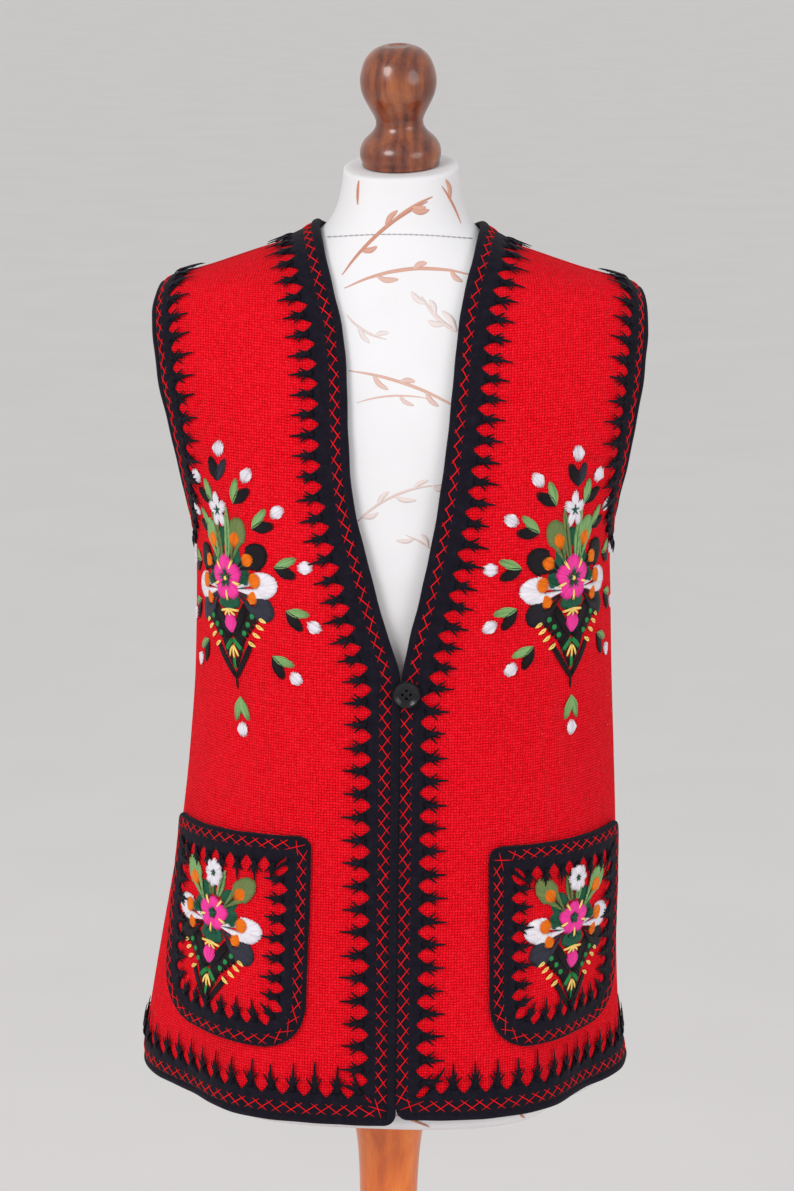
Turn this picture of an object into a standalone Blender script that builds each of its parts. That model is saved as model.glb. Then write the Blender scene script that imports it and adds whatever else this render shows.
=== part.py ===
"""Embroidered sleeveless vest, worn on a limbless dress stand.

Metres, +Z up, the front faces -Y, and +X is the viewer's right. The origin is on the floor,
under the middle of the base.
"""

import math

import bpy
import numpy as np

for old in list(bpy.data.objects):
    bpy.data.objects.remove(old, do_unlink=True)

# Sizes of the vest
HEM_Z = 0.700
POWER = 2.3
CLOTH = 0.0022
SEAM_GAP = 0.0003
SKIN_GAP = 0.0010
BAND_THICK = 0.0010
BINDING_WIDE = 0.0064
CLOTH_START = 0.0070
NECK_TOP_H = 0.652
BACK_NECK_H = 0.632
UNDERARM_H = 0.432
TIP_H = 0.600
ARMHOLE_FRONT_Y = 0.052
ARMHOLE_BACK_Y = 0.045
EDGE_X_LEFT = 0.0045
EDGE_X_RIGHT = 0.0049
V_POINT_H = 0.322
CORNER_R = 0.009
HEM_RISE = 0.005
PATH_STEP = 0.001
WALK_STEP = 0.006
CORNER_BLEND = 0.030

# Depth of the black bands from the outer edge: valley and peak of the teeth, and tooth pitch
FRONT_BAND = (0.0220, 0.0310, 0.0165)
ARMHOLE_BAND = (0.0175, 0.0240, 0.0150)
POCKET_BAND = (0.0190, 0.0255, 0.0140)

# Pocket
POCKET_THICK = 0.0018
POCKET_LIFT = 0.0013
POCKET_BAND_LIFT = POCKET_LIFT + POCKET_THICK + 0.0006

# Button, its thread stem and its loop
BUTTON_R = 0.0100
BUTTON_H = 0.3275
BUTTON_X = 0.0085
BUTTON_LIFT = 0.0052
HOLE_R = 0.0010
HOLE_OFF = 0.0029
STEM_R = 0.0016
LOOP_R = 0.0009

# Stand
FORM_BOTTOM_H = -0.0095
FORM_TOP_H = 0.692
FORM_TILT = math.radians(8.0)
FINIAL_LEAN = math.radians(2.4)
BASE_R = 0.205
BASE_THICK = 0.028

# Body: height above the hem, half width left, half width right, depth front, depth back
BODY = np.array([
    (-0.060, 0.1890, 0.1850, 0.1440, 0.1300),
    (0.000, 0.1890, 0.1825, 0.1435, 0.1280),
    (0.020, 0.1893, 0.1795, 0.1430, 0.1260),
    (0.060, 0.1840, 0.1755, 0.1415, 0.1220),
    (0.100, 0.1773, 0.1733, 0.1400, 0.1180),
    (0.140, 0.1702, 0.1722, 0.1390, 0.1140),
    (0.200, 0.1600, 0.1694, 0.1385, 0.1090),
    (0.260, 0.1540, 0.1665, 0.1390, 0.1060),
    (0.320, 0.1503, 0.1635, 0.1400, 0.1045),
    (0.375, 0.1495, 0.1615, 0.1405, 0.1040),
    (0.410, 0.1495, 0.1603, 0.1385, 0.1045),
    (0.430, 0.1515, 0.1607, 0.1355, 0.1050),
    (0.450, 0.1580, 0.1662, 0.1315, 0.1050),
    (0.480, 0.1700, 0.1778, 0.1260, 0.1045),
    (0.512, 0.1820, 0.1880, 0.1165, 0.1030),
    (0.545, 0.1907, 0.1940, 0.1030, 0.0990),
    (0.565, 0.1910, 0.1932, 0.0930, 0.0945),
    (0.584, 0.1868, 0.1885, 0.0840, 0.0885),
    (0.600, 0.1770, 0.1800, 0.0750, 0.0810),
    (0.609, 0.1660, 0.1690, 0.0695, 0.0760),
    (0.6185, 0.1380, 0.1370, 0.0640, 0.0690),
    (0.628, 0.1110, 0.1080, 0.0590, 0.0620),
    (0.637, 0.0845, 0.0820, 0.0555, 0.0560),
    (0.648, 0.0640, 0.0640, 0.0520, 0.0510),
    (0.656, 0.0560, 0.0570, 0.0502, 0.0495),
    (0.666, 0.0512, 0.0520, 0.0487, 0.0482),
    (0.681, 0.0482, 0.0486, 0.0475, 0.0472),
    (0.700, 0.0466, 0.0470, 0.0468, 0.0465),
    (0.730, 0.0460, 0.0460, 0.0462, 0.0460),
])

# Neck edge: height above the hem, distance of the edge from the middle on the left and on the right
NECK_EDGE = np.array([
    (V_POINT_H, -EDGE_X_LEFT, EDGE_X_RIGHT),
    (0.338, -0.0037, 0.0054),
    (0.353, 0.0000, 0.0077),
    (0.368, 0.0051, 0.0106),
    (0.396, 0.0133, 0.0175),
    (0.426, 0.0215, 0.0235),
    (0.4525, 0.0285, 0.0285),
    (0.480, 0.0333, 0.0325),
    (0.512, 0.0355, 0.0362),
    (0.549, 0.0370, 0.0398),
    (0.584, 0.0410, 0.0430),
    (0.607, 0.0470, 0.0470),
    (0.628, 0.0530, 0.0525),
    (0.640, 0.0562, 0.0558),
    (0.648, 0.0585, 0.0583),
])

# Armhole edge: height above the hem, distance from the middle on the left and on the right
ARM_EDGE = np.array([
    (0.410, 0.1495, 0.1603),
    (0.430, 0.1514, 0.1602),
    (0.450, 0.1552, 0.1620),
    (0.470, 0.1583, 0.1650),
    (0.490, 0.1608, 0.1671),
    (0.510, 0.1642, 0.1698),
    (0.527, 0.1685, 0.1727),
    (0.545, 0.1727, 0.1760),
    (0.562, 0.1760, 0.1788),
    (0.582, 0.1790, 0.1818),
    (0.600, 0.1770, 0.1800),
])

# Space between the stand and the cloth: height above the hem, space
SPACE = np.array([
    (-0.060, 0.0150),
    (0.000, 0.0150),
    (0.060, 0.0150),
    (0.120, 0.0145),
    (0.200, 0.0125),
    (0.300, 0.0100),
    (0.400, 0.0080),
    (0.460, 0.0060),
    (0.520, 0.0042),
    (0.570, 0.0030),
    (0.610, 0.0026),
    (0.660, 0.0028),
    (0.730, 0.0028),
])

# Pocket outline: corners as (distance round the body from the middle front, height), corner radius
POCKET_LEFT = ((-0.0590, 0.2175, 0.010), (-0.0635, 0.0550, 0.036),
               (-0.2060, 0.0570, 0.041), (-0.2070, 0.2090, 0.010))
POCKET_RIGHT = ((0.0705, 0.2105, 0.010), (0.0735, 0.0570, 0.036),
                (0.2130, 0.0560, 0.038), (0.2120, 0.2085, 0.010))

FORM_SIDES = 26


def slopes(xs, ys):
    """Slopes of a smooth curve that never overshoots its table."""
    step = np.diff(xs)
    rise = np.diff(ys) / step
    out = np.zeros_like(ys)
    out[0], out[-1] = rise[0], rise[-1]
    first, second = rise[:-1], rise[1:]
    same = first * second > 0
    one = 2 * step[1:] + step[:-1]
    two = step[1:] + 2 * step[:-1]
    safe_first = np.where(same, first, 1.0)
    safe_second = np.where(same, second, 1.0)
    out[1:-1] = np.where(same, (one + two) / (one / safe_first + two / safe_second), 0.0)
    return out


def curve(x, xs, ys):
    """Smooth curve through a table, read at x."""
    x = np.clip(np.asarray(x, float), xs[0], xs[-1])
    tangents = slopes(xs, ys)
    i = np.clip(np.searchsorted(xs, x, side="right") - 1, 0, len(xs) - 2)
    step = xs[i + 1] - xs[i]
    t = (x - xs[i]) / step
    start = (1 + 2 * t) * (1 - t) ** 2 * ys[i] + t * (1 - t) ** 2 * step * tangents[i]
    end = t * t * (3 - 2 * t) * ys[i + 1] + t * t * (t - 1) * step * tangents[i + 1]
    return start + end


def relief(angle, height):
    """Soft folds of the cloth: a lift outwards, in metres."""
    angle = (angle + math.pi) % (2 * math.pi) - math.pi
    low = np.clip((0.36 - height) / 0.36, 0, 1) ** 1.5
    flare = np.clip((0.21 - height) / 0.21, 0, 1) ** 1.2
    hollow = -0.018 * flare * np.exp(-((np.abs(angle) - 1.13) / 0.27) ** 2)
    side = np.sin(3.0 * angle + 0.7) * 0.0022 + np.sin(5.0 * angle - 1.1) * 0.0014
    seam = np.cos(angle) ** 2
    bust = 0.0030 * np.exp(-((angle - 0.85) / 0.25) ** 2 - ((height - 0.43) / 0.05) ** 2)
    bust += 0.0030 * np.exp(-((angle + 0.85) / 0.25) ** 2 - ((height - 0.43) / 0.05) ** 2)
    return low * side * seam + bust + hollow


def hem_rise(angle):
    """Height of the hem over its lowest place: the wearer's left front hangs a little higher."""
    angle = (np.asarray(angle, float) + math.pi) % (2 * math.pi) - math.pi
    back = np.where(angle > math.pi / 2, np.cos(angle - math.pi / 2) ** 2, 1.0)
    return np.where(angle < -0.2, 0.0, HEM_RISE * back)


def surface(angle, height):
    """Point of the cloth's outside. The angle is 0 at the middle front and grows to the right."""
    angle, height = np.broadcast_arrays(np.asarray(angle, float), np.asarray(height, float))
    sine, cosine = np.sin(angle), np.cos(angle)
    left = curve(height, BODY[:, 0], BODY[:, 1])
    right = curve(height, BODY[:, 0], BODY[:, 2])
    front = curve(height, BODY[:, 0], BODY[:, 3])
    back = curve(height, BODY[:, 0], BODY[:, 4])
    wide = np.where(sine < 0, left, right)
    deep = np.where(cosine > 0, front, back)
    total = (np.abs(sine) / wide) ** POWER + (np.abs(cosine) / deep) ** POWER
    radius = total ** (-1 / POWER) + relief(angle, height)
    return np.stack([radius * sine, -radius * cosine, HEM_Z + height], axis=-1)


def slopes_at(angle, height):
    """Point, its two tangents and its normal."""
    small = 1e-4
    along = (surface(angle + small, height) - surface(angle - small, height)) / (2 * small)
    up = (surface(angle, height + small) - surface(angle, height - small)) / (2 * small)
    normal = np.cross(along, up)
    on_seam = np.abs(np.cos(angle)) < 1e-6
    normal[..., 1] = np.where(on_seam, 0.0, normal[..., 1])
    normal /= np.linalg.norm(normal, axis=-1, keepdims=True)
    return surface(angle, height), along, up, normal


def walk(angle, height, way, length):
    """Moves over the cloth from a place, in a direction, by a length in metres."""
    angle, height = np.array(angle, float), np.array(height, float)
    way = np.array(way, float)
    length = np.broadcast_to(np.asarray(length, float), angle.shape)
    steps = max(1, int(math.ceil(np.abs(length).max() / WALK_STEP)))
    for _ in range(steps):
        _, along, up, normal = slopes_at(angle, height)
        way = way - normal * (way * normal).sum(-1, keepdims=True)
        way /= np.linalg.norm(way, axis=-1, keepdims=True)
        aa, uu, au = (along * along).sum(-1), (up * up).sum(-1), (along * up).sum(-1)
        wa, wu = (way * along).sum(-1), (way * up).sum(-1)
        base = aa * uu - au * au
        angle = angle + (uu * wa - au * wu) / base * length / steps
        height = height + (aa * wu - au * wa) / base * length / steps
    return angle, height


def angle_of(x, height):
    """Angle on the front at which the cloth is x to the right of the middle."""
    x, height = np.broadcast_arrays(np.asarray(x, float), np.asarray(height, float))
    low, high = np.full(x.shape, -math.pi / 2), np.full(x.shape, math.pi / 2)
    for _ in range(50):
        middle = (low + high) / 2
        less = surface(middle, height)[..., 0] < x
        low = np.where(less, middle, low)
        high = np.where(less, high, middle)
    return (low + high) / 2


def angle_round(distance, height):
    """Angle at a distance round the body from the middle front, at one height."""
    fine = np.linspace(-math.pi, math.pi, 1441)
    out = []
    for one, at in zip(distance, height):
        points = surface(fine, at)
        length = np.r_[0, np.cumsum(np.linalg.norm(np.diff(points, axis=0), axis=1))]
        out.append(np.interp(one, length - np.interp(0.0, fine, length), fine))
    return np.array(out)


def resample(angle, height, step=PATH_STEP, closed=False):
    """The same path with evenly spaced places."""
    if closed:
        angle, height = np.r_[angle, angle[0]], np.r_[height, height[0]]
    points = surface(angle, height)
    length = np.r_[0, np.cumsum(np.linalg.norm(np.diff(points, axis=0), axis=1))]
    count = max(2, int(round(length[-1] / step)) + 1)
    at = np.linspace(0, length[-1], count)
    if closed:
        at = at[:-1]
    return np.interp(at, length, angle), np.interp(at, length, height)


def inward(angle, height, closed=False, forced_ends=()):
    """Directions over the cloth to the left of the path: at each place, and smoothed for corners."""
    point, _, _, normal = slopes_at(angle, height)
    if closed:
        tangent = np.roll(point, -1, axis=0) - np.roll(point, 1, axis=0)
    else:
        tangent = np.gradient(point, axis=0)
    tangent /= np.linalg.norm(tangent, axis=1, keepdims=True)
    local = np.cross(normal, tangent)
    local /= np.linalg.norm(local, axis=1, keepdims=True)
    for end in forced_ends:
        turn(local, normal, end)
    reach = int(CORNER_BLEND / PATH_STEP)
    if closed:
        padded = np.concatenate([local[-reach:], local, local[:reach]])
    else:
        padded = np.concatenate([local[:1].repeat(reach, 0), local, local[-1:].repeat(reach, 0)])
    sums = np.cumsum(np.concatenate([np.zeros((1, 3)), padded]), axis=0)
    smooth = sums[2 * reach + 1:] - sums[:-2 * reach - 1]
    smooth -= normal * (smooth * normal).sum(1, keepdims=True)
    smooth /= np.linalg.norm(smooth, axis=1, keepdims=True)
    if not closed:
        for end in (0, -1):
            smooth[end] = local[end]
    return local, smooth


def turn(local, normal, end):
    """Turns the directions near one end so that the last one lies in the seam's plane."""
    count = 26
    for k in range(count):
        i = k if end == 0 else len(local) - 1 - k
        part = (1 - k / count) ** 2
        flat = local[i] * np.array([1.0, 1.0 - part, 1.0])
        flat -= normal[i] * (flat @ normal[i])
        local[i] = flat / np.linalg.norm(flat)


def neck_path(side):
    """Outer edge of one front: from the hem's side seam round the corner and up to the shoulder."""
    column = 1 if side < 0 else 2
    edge_x = EDGE_X_LEFT if side < 0 else EDGE_X_RIGHT
    low = 0.0 if side < 0 else HEM_RISE
    hem_angle = np.linspace(side * math.pi / 2, angle_of(edge_x + side * CORNER_R, low), 120)
    turn_by = np.linspace(0, math.pi / 2, 12)[1:]
    corner_x = edge_x + side * CORNER_R * (1 - np.sin(turn_by))
    corner_h = low + CORNER_R * (1 - np.cos(turn_by))
    up_h = np.linspace(low + CORNER_R, V_POINT_H, 60)[1:]
    v_h = np.linspace(V_POINT_H, 0.648, 150)[1:]
    v_x = side * curve(v_h, NECK_EDGE[:, 0], NECK_EDGE[:, column])
    x = np.r_[corner_x, np.full(len(up_h), edge_x), v_x]
    h = np.r_[corner_h, up_h, v_h]
    angle = np.r_[hem_angle, angle_of(x, h)]
    height = np.r_[np.full(len(hem_angle), low), h]
    last = angle[-1]
    t = np.linspace(0, 1, 14)[1:]
    angle = np.r_[angle, last + (side * math.pi / 2 - last) * t]
    height = np.r_[height, 0.648 + (NECK_TOP_H - 0.648) * np.sin(t * math.pi / 2)]
    return resample(angle, height)


def arm_angle(side, height, back):
    """Angle of the armhole's edge at a height, on the front or on the back half."""
    c = np.clip((height - (TIP_H + UNDERARM_H) / 2) / ((TIP_H - UNDERARM_H) / 2), -1, 1)
    deep = np.sqrt(1 - c * c) * (1 - 0.15 * c)
    x = curve(height, ARM_EDGE[:, 0], ARM_EDGE[:, 1 if side < 0 else 2])
    part = np.arctan2((ARMHOLE_BACK_Y if back else ARMHOLE_FRONT_Y) * deep, x)
    return side * (math.pi / 2 + (part if back else -part))


def arm_half(side, back):
    """One half of an armhole, from the underarm up to the shoulder tip."""
    t = np.linspace(0, math.pi, 160)
    height = (TIP_H + UNDERARM_H) / 2 - (TIP_H - UNDERARM_H) / 2 * np.cos(t)
    return arm_angle(side, height, back), height


def arm_path(side):
    """The whole armhole as a loop with the cloth on its left."""
    front_a, front_h = arm_half(side, False)
    back_a, back_h = arm_half(side, True)
    angle = np.r_[front_a, back_a[::-1][1:-1]]
    height = np.r_[front_h, back_h[::-1][1:-1]]
    if side < 0:
        angle, height = angle[::-1], height[::-1]
    return resample(angle, height, closed=True)


def back_hem_path():
    angle = np.linspace(math.pi / 2, 1.5 * math.pi, 200)
    return resample(angle, hem_rise(angle))


def back_neck_path():
    angle = np.linspace(-math.pi / 2, -1.5 * math.pi, 200)
    height = BACK_NECK_H + (NECK_TOP_H - BACK_NECK_H) * np.sin(angle) ** 2
    return resample(angle, height)


def pocket_path(corners):
    """Rounded four-sided outline, with the pocket on its left."""
    points = np.array([c[:2] for c in corners])
    radii = [c[2] for c in corners]
    area = sum(points[i - 1, 0] * points[i, 1] - points[i, 0] * points[i - 1, 1] for i in range(4))
    if area < 0:
        points, radii = points[::-1], radii[::-1]
    out = []
    for i in range(4):
        here, before, after = points[i], points[i - 1], points[(i + 1) % 4]
        first = (before - here) / np.linalg.norm(before - here)
        second = (after - here) / np.linalg.norm(after - here)
        half = math.acos(float(first @ second)) / 2
        reach = radii[i] / math.tan(half)
        start, end = here + first * reach, here + second * reach
        for t in np.linspace(0, 1, 13):
            near = start * (1 - t) ** 2 + 2 * here * t * (1 - t) * 0.86 + end * t * t
            weight = (1 - t) ** 2 + 2 * t * (1 - t) * 0.86 + t * t
            out.append(near / weight)
    out = np.array(out)
    return resample(angle_round(out[:, 0], out[:, 1]), out[:, 1], closed=True)


class Path:
    """An outer edge with its directions inwards."""

    def __init__(self, places, closed=False, forced_ends=()):
        self.angle, self.height = places
        self.closed = closed
        self.local, self.smooth = inward(self.angle, self.height, closed, forced_ends)
        self.stretch = 1 / np.clip((self.local * self.smooth).sum(1), 0.66, 1)

    def at(self, pick, depth, cornered=False):
        """Places at a depth inside the edge, for some indices of the path."""
        way = self.smooth[pick] if cornered else self.local[pick]
        length = depth * self.stretch[pick] if cornered else depth
        return walk(self.angle[pick], self.height[pick], way, length)


def lifted(angle, height, lift, y_shift=0.0):
    point, _, _, normal = slopes_at(angle, height)
    point = point + normal * np.asarray(lift)[..., None]
    point[..., 1] += y_shift
    return point


def material(name, colour, rough, metallic=0.0):
    made = bpy.data.materials.new(name)
    made.use_nodes = True
    shader = made.node_tree.nodes["Principled BSDF"]
    shader.inputs["Base Color"].default_value = (*colour, 1.0)
    shader.inputs["Roughness"].default_value = rough
    shader.inputs["Metallic"].default_value = metallic
    return made


def body(name, points, faces, look, smooth=True):
    mesh = bpy.data.meshes.new(name)
    mesh.from_pydata([tuple(map(float, p)) for p in points], [], [tuple(f) for f in faces])
    mesh.validate()
    obj = bpy.data.objects.new(name, mesh)
    bpy.context.scene.collection.objects.link(obj)
    obj.data.materials.append(material(name, *look))
    for face in mesh.polygons:
        face.use_smooth = smooth
    return obj


def sheet(name, cells, low, high, look, y_shift=0.0):
    """Closed wall over cells of (angle, height) places, between two lifts off the cloth's form."""
    index, places, faces = {}, [], []
    for cell in cells:
        face = []
        for angle, height in cell:
            key = (round(angle, 7), round(height, 7))
            if key not in index:
                index[key] = len(places)
                places.append((angle, height))
            if index[key] not in face:
                face.append(index[key])
        if len(face) > 2:
            faces.append(face)
    places = np.array(places)
    top = lifted(places[:, 0], places[:, 1], high, y_shift)
    bottom = lifted(places[:, 0], places[:, 1], low, y_shift)
    count = len(places)
    used = {}
    for face in faces:
        for a, b in zip(face, face[1:] + face[:1]):
            used[(a, b)] = True
    out = [list(face) for face in faces]
    out += [[i + count for i in reversed(face)] for face in faces]
    for a, b in used:
        if (b, a) not in used:
            out.append([b, a, a + count, b + count])
    return body(name, np.concatenate([top, bottom]), out, look)


def grid_cells(rows):
    """Cells between rows of places, turned so that they face out."""
    cells = []
    for low, high in zip(rows, rows[1:]):
        for i in range(len(low) - 1):
            cells.append([low[i], low[i + 1], high[i + 1], high[i]])
    return cells


def spread(angle, height, count, start=0.0, end=1.0):
    """Places along a line at even distances, by fraction of its length."""
    points = surface(angle, height)
    length = np.r_[0, np.cumsum(np.linalg.norm(np.diff(points, axis=0), axis=1))]
    at = np.linspace(start, end, count) * length[-1]
    return np.interp(at, length, angle), np.interp(at, length, height)


def between(first, last, count):
    t = np.linspace(0, 1, count)
    return [(first[0] + (last[0] - first[0]) * k, first[1] + (last[1] - first[1]) * k) for k in t]


def arm_inner(side, back, count):
    """The cloth's own edge at an armhole half, from the underarm up to the tip."""
    path = ARM_PATHS[side]
    every = np.arange(len(path.angle))
    angle, height = path.at(every, CLOTH_START)
    part = np.abs(angle) > math.pi / 2 if back else np.abs(angle) < math.pi / 2
    angle, height = angle[part], height[part]
    order = np.argsort(height)
    angle, height = angle[order], height[order]
    ends = []
    for at_h in (UNDERARM_H, TIP_H):
        sign = -1.0 if at_h == UNDERARM_H else 1.0
        start_a = np.array([side * math.pi / 2])
        _, _, up, _ = slopes_at(start_a, np.array([at_h]))
        way = up / np.linalg.norm(up) * sign
        ends.append(walk(start_a, np.array([at_h]), way, CLOTH_START))
    angle = np.r_[side * math.pi / 2, angle, side * math.pi / 2]
    height = np.r_[ends[0][1], height, ends[1][1]]
    t = np.linspace(0, math.pi, count)
    t = t - ROUND_ENDS * np.sin(2 * t)
    low, high = height[0], height[-1]
    at = (low + high) / 2 - (high - low) / 2 * np.cos(t)
    return np.interp(at, height, angle), at


# Rows of the panels: heights below the underarm by fraction, and counts above it
LOWER_PARTS = (0.0, 0.005, 0.15, 0.30, 0.45, 0.60, 0.71, 0.785, 0.83, 0.88, 0.94, 1.0)
UPPER_ROWS = 14
ROUND_ENDS = 0.1
CORNER_CUT = 0.014
BACK_PARTS = (0.0, 0.14, 0.28, 0.42, 0.56, 0.70, 0.85, 1.0)
FRONT_COLUMNS = 10
BACK_COLUMNS = 8


def front_panel(side):
    """Rows of places over one front."""
    path = FRONT_PATHS[side]
    every = np.arange(len(path.angle))
    angle, height = path.at(every, CLOTH_START)
    low = CLOTH_START if side < 0 else CLOTH_START + HEM_RISE
    keep = (path.height > low - CLOTH_START + CORNER_R * 1.02) & (height > low)
    angle, height = angle[keep], height[keep]
    order = np.argsort(height)
    angle, height = angle[order], height[order]
    angle[-1] = side * math.pi / 2
    arm_a, arm_h = arm_inner(side, False, UPPER_ROWS + 1)
    low_h = low + (arm_h[0] - low) * np.array(LOWER_PARTS)
    rows = []
    for h in low_h:
        cut = CORNER_CUT if h == low_h[0] else 0.0
        inner = (float(np.interp(h, height, angle)) + side * cut, float(h))
        rows.append(between(inner, (side * math.pi / 2, float(h)), FRONT_COLUMNS))
    upper = height > arm_h[0]
    up_a = np.r_[np.interp(arm_h[0], height, angle), angle[upper]]
    up_h = np.r_[arm_h[0], height[upper]]
    in_a, in_h = spread(up_a, up_h, UPPER_ROWS + 1)
    for k in range(1, UPPER_ROWS + 1):
        rows.append(between((in_a[k], in_h[k]), (arm_a[k], arm_h[k]), FRONT_COLUMNS))
    if side < 0:
        rows = [row[::-1] for row in rows]
    return rows


def back_panel():
    """Rows of places over the two halves of the back, which share the middle line."""
    path = BACK_NECK
    every = np.arange(len(path.angle))
    angle, height = path.at(every, CLOTH_START)
    both = []
    for side in (1, -1):
        half = angle >= -math.pi if side < 0 else angle <= -math.pi
        half_a, half_h = angle[half], height[half]
        if side > 0:
            half_a, half_h = half_a[::-1] + 2 * math.pi, half_h[::-1]
        half_a, half_h = half_a.copy(), half_h.copy()
        half_a[0] = side * math.pi / 2
        arm_a, arm_h = arm_inner(side, True, UPPER_ROWS + 1)
        middle_h = BACK_NECK_H - CLOTH_START
        neck_rows = 7
        line_h = np.linspace(UNDERARM_H - CLOTH_START, middle_h, UPPER_ROWS - neck_rows + 1)
        neck_a, neck_h = spread(half_a[::-1], half_h[::-1], neck_rows + 1)
        inner = [(side * math.pi, float(h)) for h in line_h]
        inner += [(neck_a[k], neck_h[k]) for k in range(1, neck_rows + 1)]
        rows = []
        for part in BACK_PARTS:
            seam_h = CLOTH_START + (arm_h[0] - CLOTH_START) * part
            inner_h = CLOTH_START + (UNDERARM_H - 2 * CLOTH_START) * part
            row = between((side * math.pi / 2, seam_h), (side * math.pi, inner_h), BACK_COLUMNS)
            rows.append([(a, h + float(hem_rise(a)) * (1 - part)) for a, h in row])
        for k in range(1, UPPER_ROWS + 1):
            rows.append(between((arm_a[k], arm_h[k]), inner[k], BACK_COLUMNS))
        if side < 0:
            rows = [[(a + 2 * math.pi, h) for a, h in row][::-1] for row in rows]
        both += grid_cells(rows)
    return both


def tooth_stations(path, band):
    """Indices along the path with the depth at each: valleys and peaks, and the corners between."""
    valley, peak, pitch = band
    every = np.arange(len(path.angle))
    inner = lifted(*path.at(every, (valley + peak) / 2, True), 0.0)
    step = np.linalg.norm(np.diff(inner, axis=0), axis=1)
    if path.closed:
        step = np.r_[step, np.linalg.norm(inner[0] - inner[-1])]
    length = np.r_[0, np.cumsum(step)]
    teeth = max(2, int(round(length[-1] / pitch)))
    marks = np.linspace(0, length[-1], 2 * teeth + 1)
    depth_marks = np.where(np.arange(2 * teeth + 1) % 2, peak, valley)
    reach = length if not path.closed else length[:-1]
    picks = {int(np.argmin(np.abs(reach - m))) for m in (marks[:-1] if path.closed else marks)}
    bend = path.stretch > 1.30
    for i in np.flatnonzero(bend[1:] != bend[:-1]):
        picks.add(int(i))
    for i in np.flatnonzero((path.stretch[1:-1] >= path.stretch[:-2])
                            & (path.stretch[1:-1] > path.stretch[2:]) & (path.stretch[1:-1] > 1.2)):
        picks.add(int(i) + 1)
    picks = sorted(picks)
    thinned = [picks[0]]
    for p in picks[1:]:
        if p - thinned[-1] > 2 or p == picks[-1]:
            thinned.append(p)
    picks = np.array(thinned)
    return picks, np.interp(reach[picks], marks, depth_marks)


def band(name, path, sizes, low, look, columns=3, y_shift=0.0):
    """Black band with a toothed inner edge."""
    picks, depth = tooth_stations(path, sizes)
    start = path.at(picks, CLOTH_START)
    rows = [list(zip(*start))]
    for k in range(1, columns):
        part = k / (columns - 1)
        rows.append(list(zip(*path.at(picks, CLOTH_START + (depth - CLOTH_START) * part, True))))
    if path.closed:
        rows = [row + row[:1] for row in rows]
    return sheet(name, grid_cells(rows), low, low + BAND_THICK, look, y_shift)


EDGE_SECTION = ((0.0064, -0.0026), (0.0064, 0.0016), (0.0036, 0.0026),
                (0.0006, 0.0014), (0.0, -0.0014), (0.0030, -0.0032))
POCKET_SECTION = ((0.0064, 0.0013), (0.0064, 0.0041), (0.0036, 0.0053),
                  (0.0006, 0.0041), (0.0, 0.0013))


def binding_stations(path, longest):
    """Indices along the path, closer together where it turns."""
    way = path.local
    chosen = [0]
    for i in range(1, len(way)):
        turned = math.acos(float(np.clip(way[i] @ way[chosen[-1]], -1, 1)))
        if i - chosen[-1] >= longest / PATH_STEP or turned > 0.16:
            chosen.append(i)
    if not path.closed and chosen[-1] != len(way) - 1:
        if len(way) - 1 - chosen[-1] < 4:
            chosen.pop()
        chosen.append(len(way) - 1)
    return np.array(chosen)


def binding(name, path, section, look, longest=0.018, y_shift=0.0):
    """Rounded roll along an edge."""
    picks = binding_stations(path, longest)
    rings = []
    for depth, lift in section:
        rings.append(lifted(*path.at(picks, depth), lift, y_shift))
    rings = np.array(rings)
    sides, count = rings.shape[:2]
    points = rings.transpose(1, 0, 2).reshape(-1, 3)
    faces = []
    last = count if path.closed else count - 1
    for i in range(last):
        j = (i + 1) % count
        for k in range(sides):
            m = (k + 1) % sides
            faces.append([i * sides + k, i * sides + m, j * sides + m, j * sides + k])
    if not path.closed:
        faces.append(list(reversed(range(sides))))
        faces.append([(count - 1) * sides + k for k in range(sides)])
    return body(name, points, faces, look)


def pocket_cells(path):
    """Rings of cells from the pocket's edge to its middle."""
    picks = np.linspace(0, len(path.angle), 28, endpoint=False).astype(int)
    angle, height = path.at(picks, CLOTH_START)
    middle_a, middle_h = angle.mean(), height.mean()
    rows = []
    for part in (1.0, 0.75, 0.48, 0.22, 0.0):
        row = [(middle_a + (a - middle_a) * part, middle_h + (h - middle_h) * part)
               for a, h in zip(angle, height)]
        rows.append(row + row[:1])
    return grid_cells(rows)


def lathe(name, profile, sides, look, centre=(0, 0, 0), axis=(0, 0, 1)):
    """Turned body: profile of (radius, height) from the bottom's middle to the top's middle."""
    axis = np.array(axis, float) / np.linalg.norm(axis)
    helper = np.array([1.0, 0, 0]) if abs(axis[0]) < 0.9 else np.array([0, 1.0, 0])
    first = np.cross(axis, helper)
    first /= np.linalg.norm(first)
    second = np.cross(axis, first)
    points, rings = [], []
    for radius, height in profile:
        if radius == 0:
            rings.append([len(points)])
            points.append(np.array(centre) + axis * height)
            continue
        rings.append(list(range(len(points), len(points) + sides)))
        for k in range(sides):
            turn_by = 2 * math.pi * k / sides
            spoke = first * math.cos(turn_by) + second * math.sin(turn_by)
            points.append(np.array(centre) + axis * height + spoke * radius)
    faces = []
    for low, high in zip(rings, rings[1:]):
        for k in range(sides):
            m = (k + 1) % sides
            if len(low) == 1:
                faces.append([low[0], high[m], high[k]])
            elif len(high) == 1:
                faces.append([low[k], low[m], high[0]])
            else:
                faces.append([low[k], low[m], high[m], high[k]])
    return body(name, points, faces, look)


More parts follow.
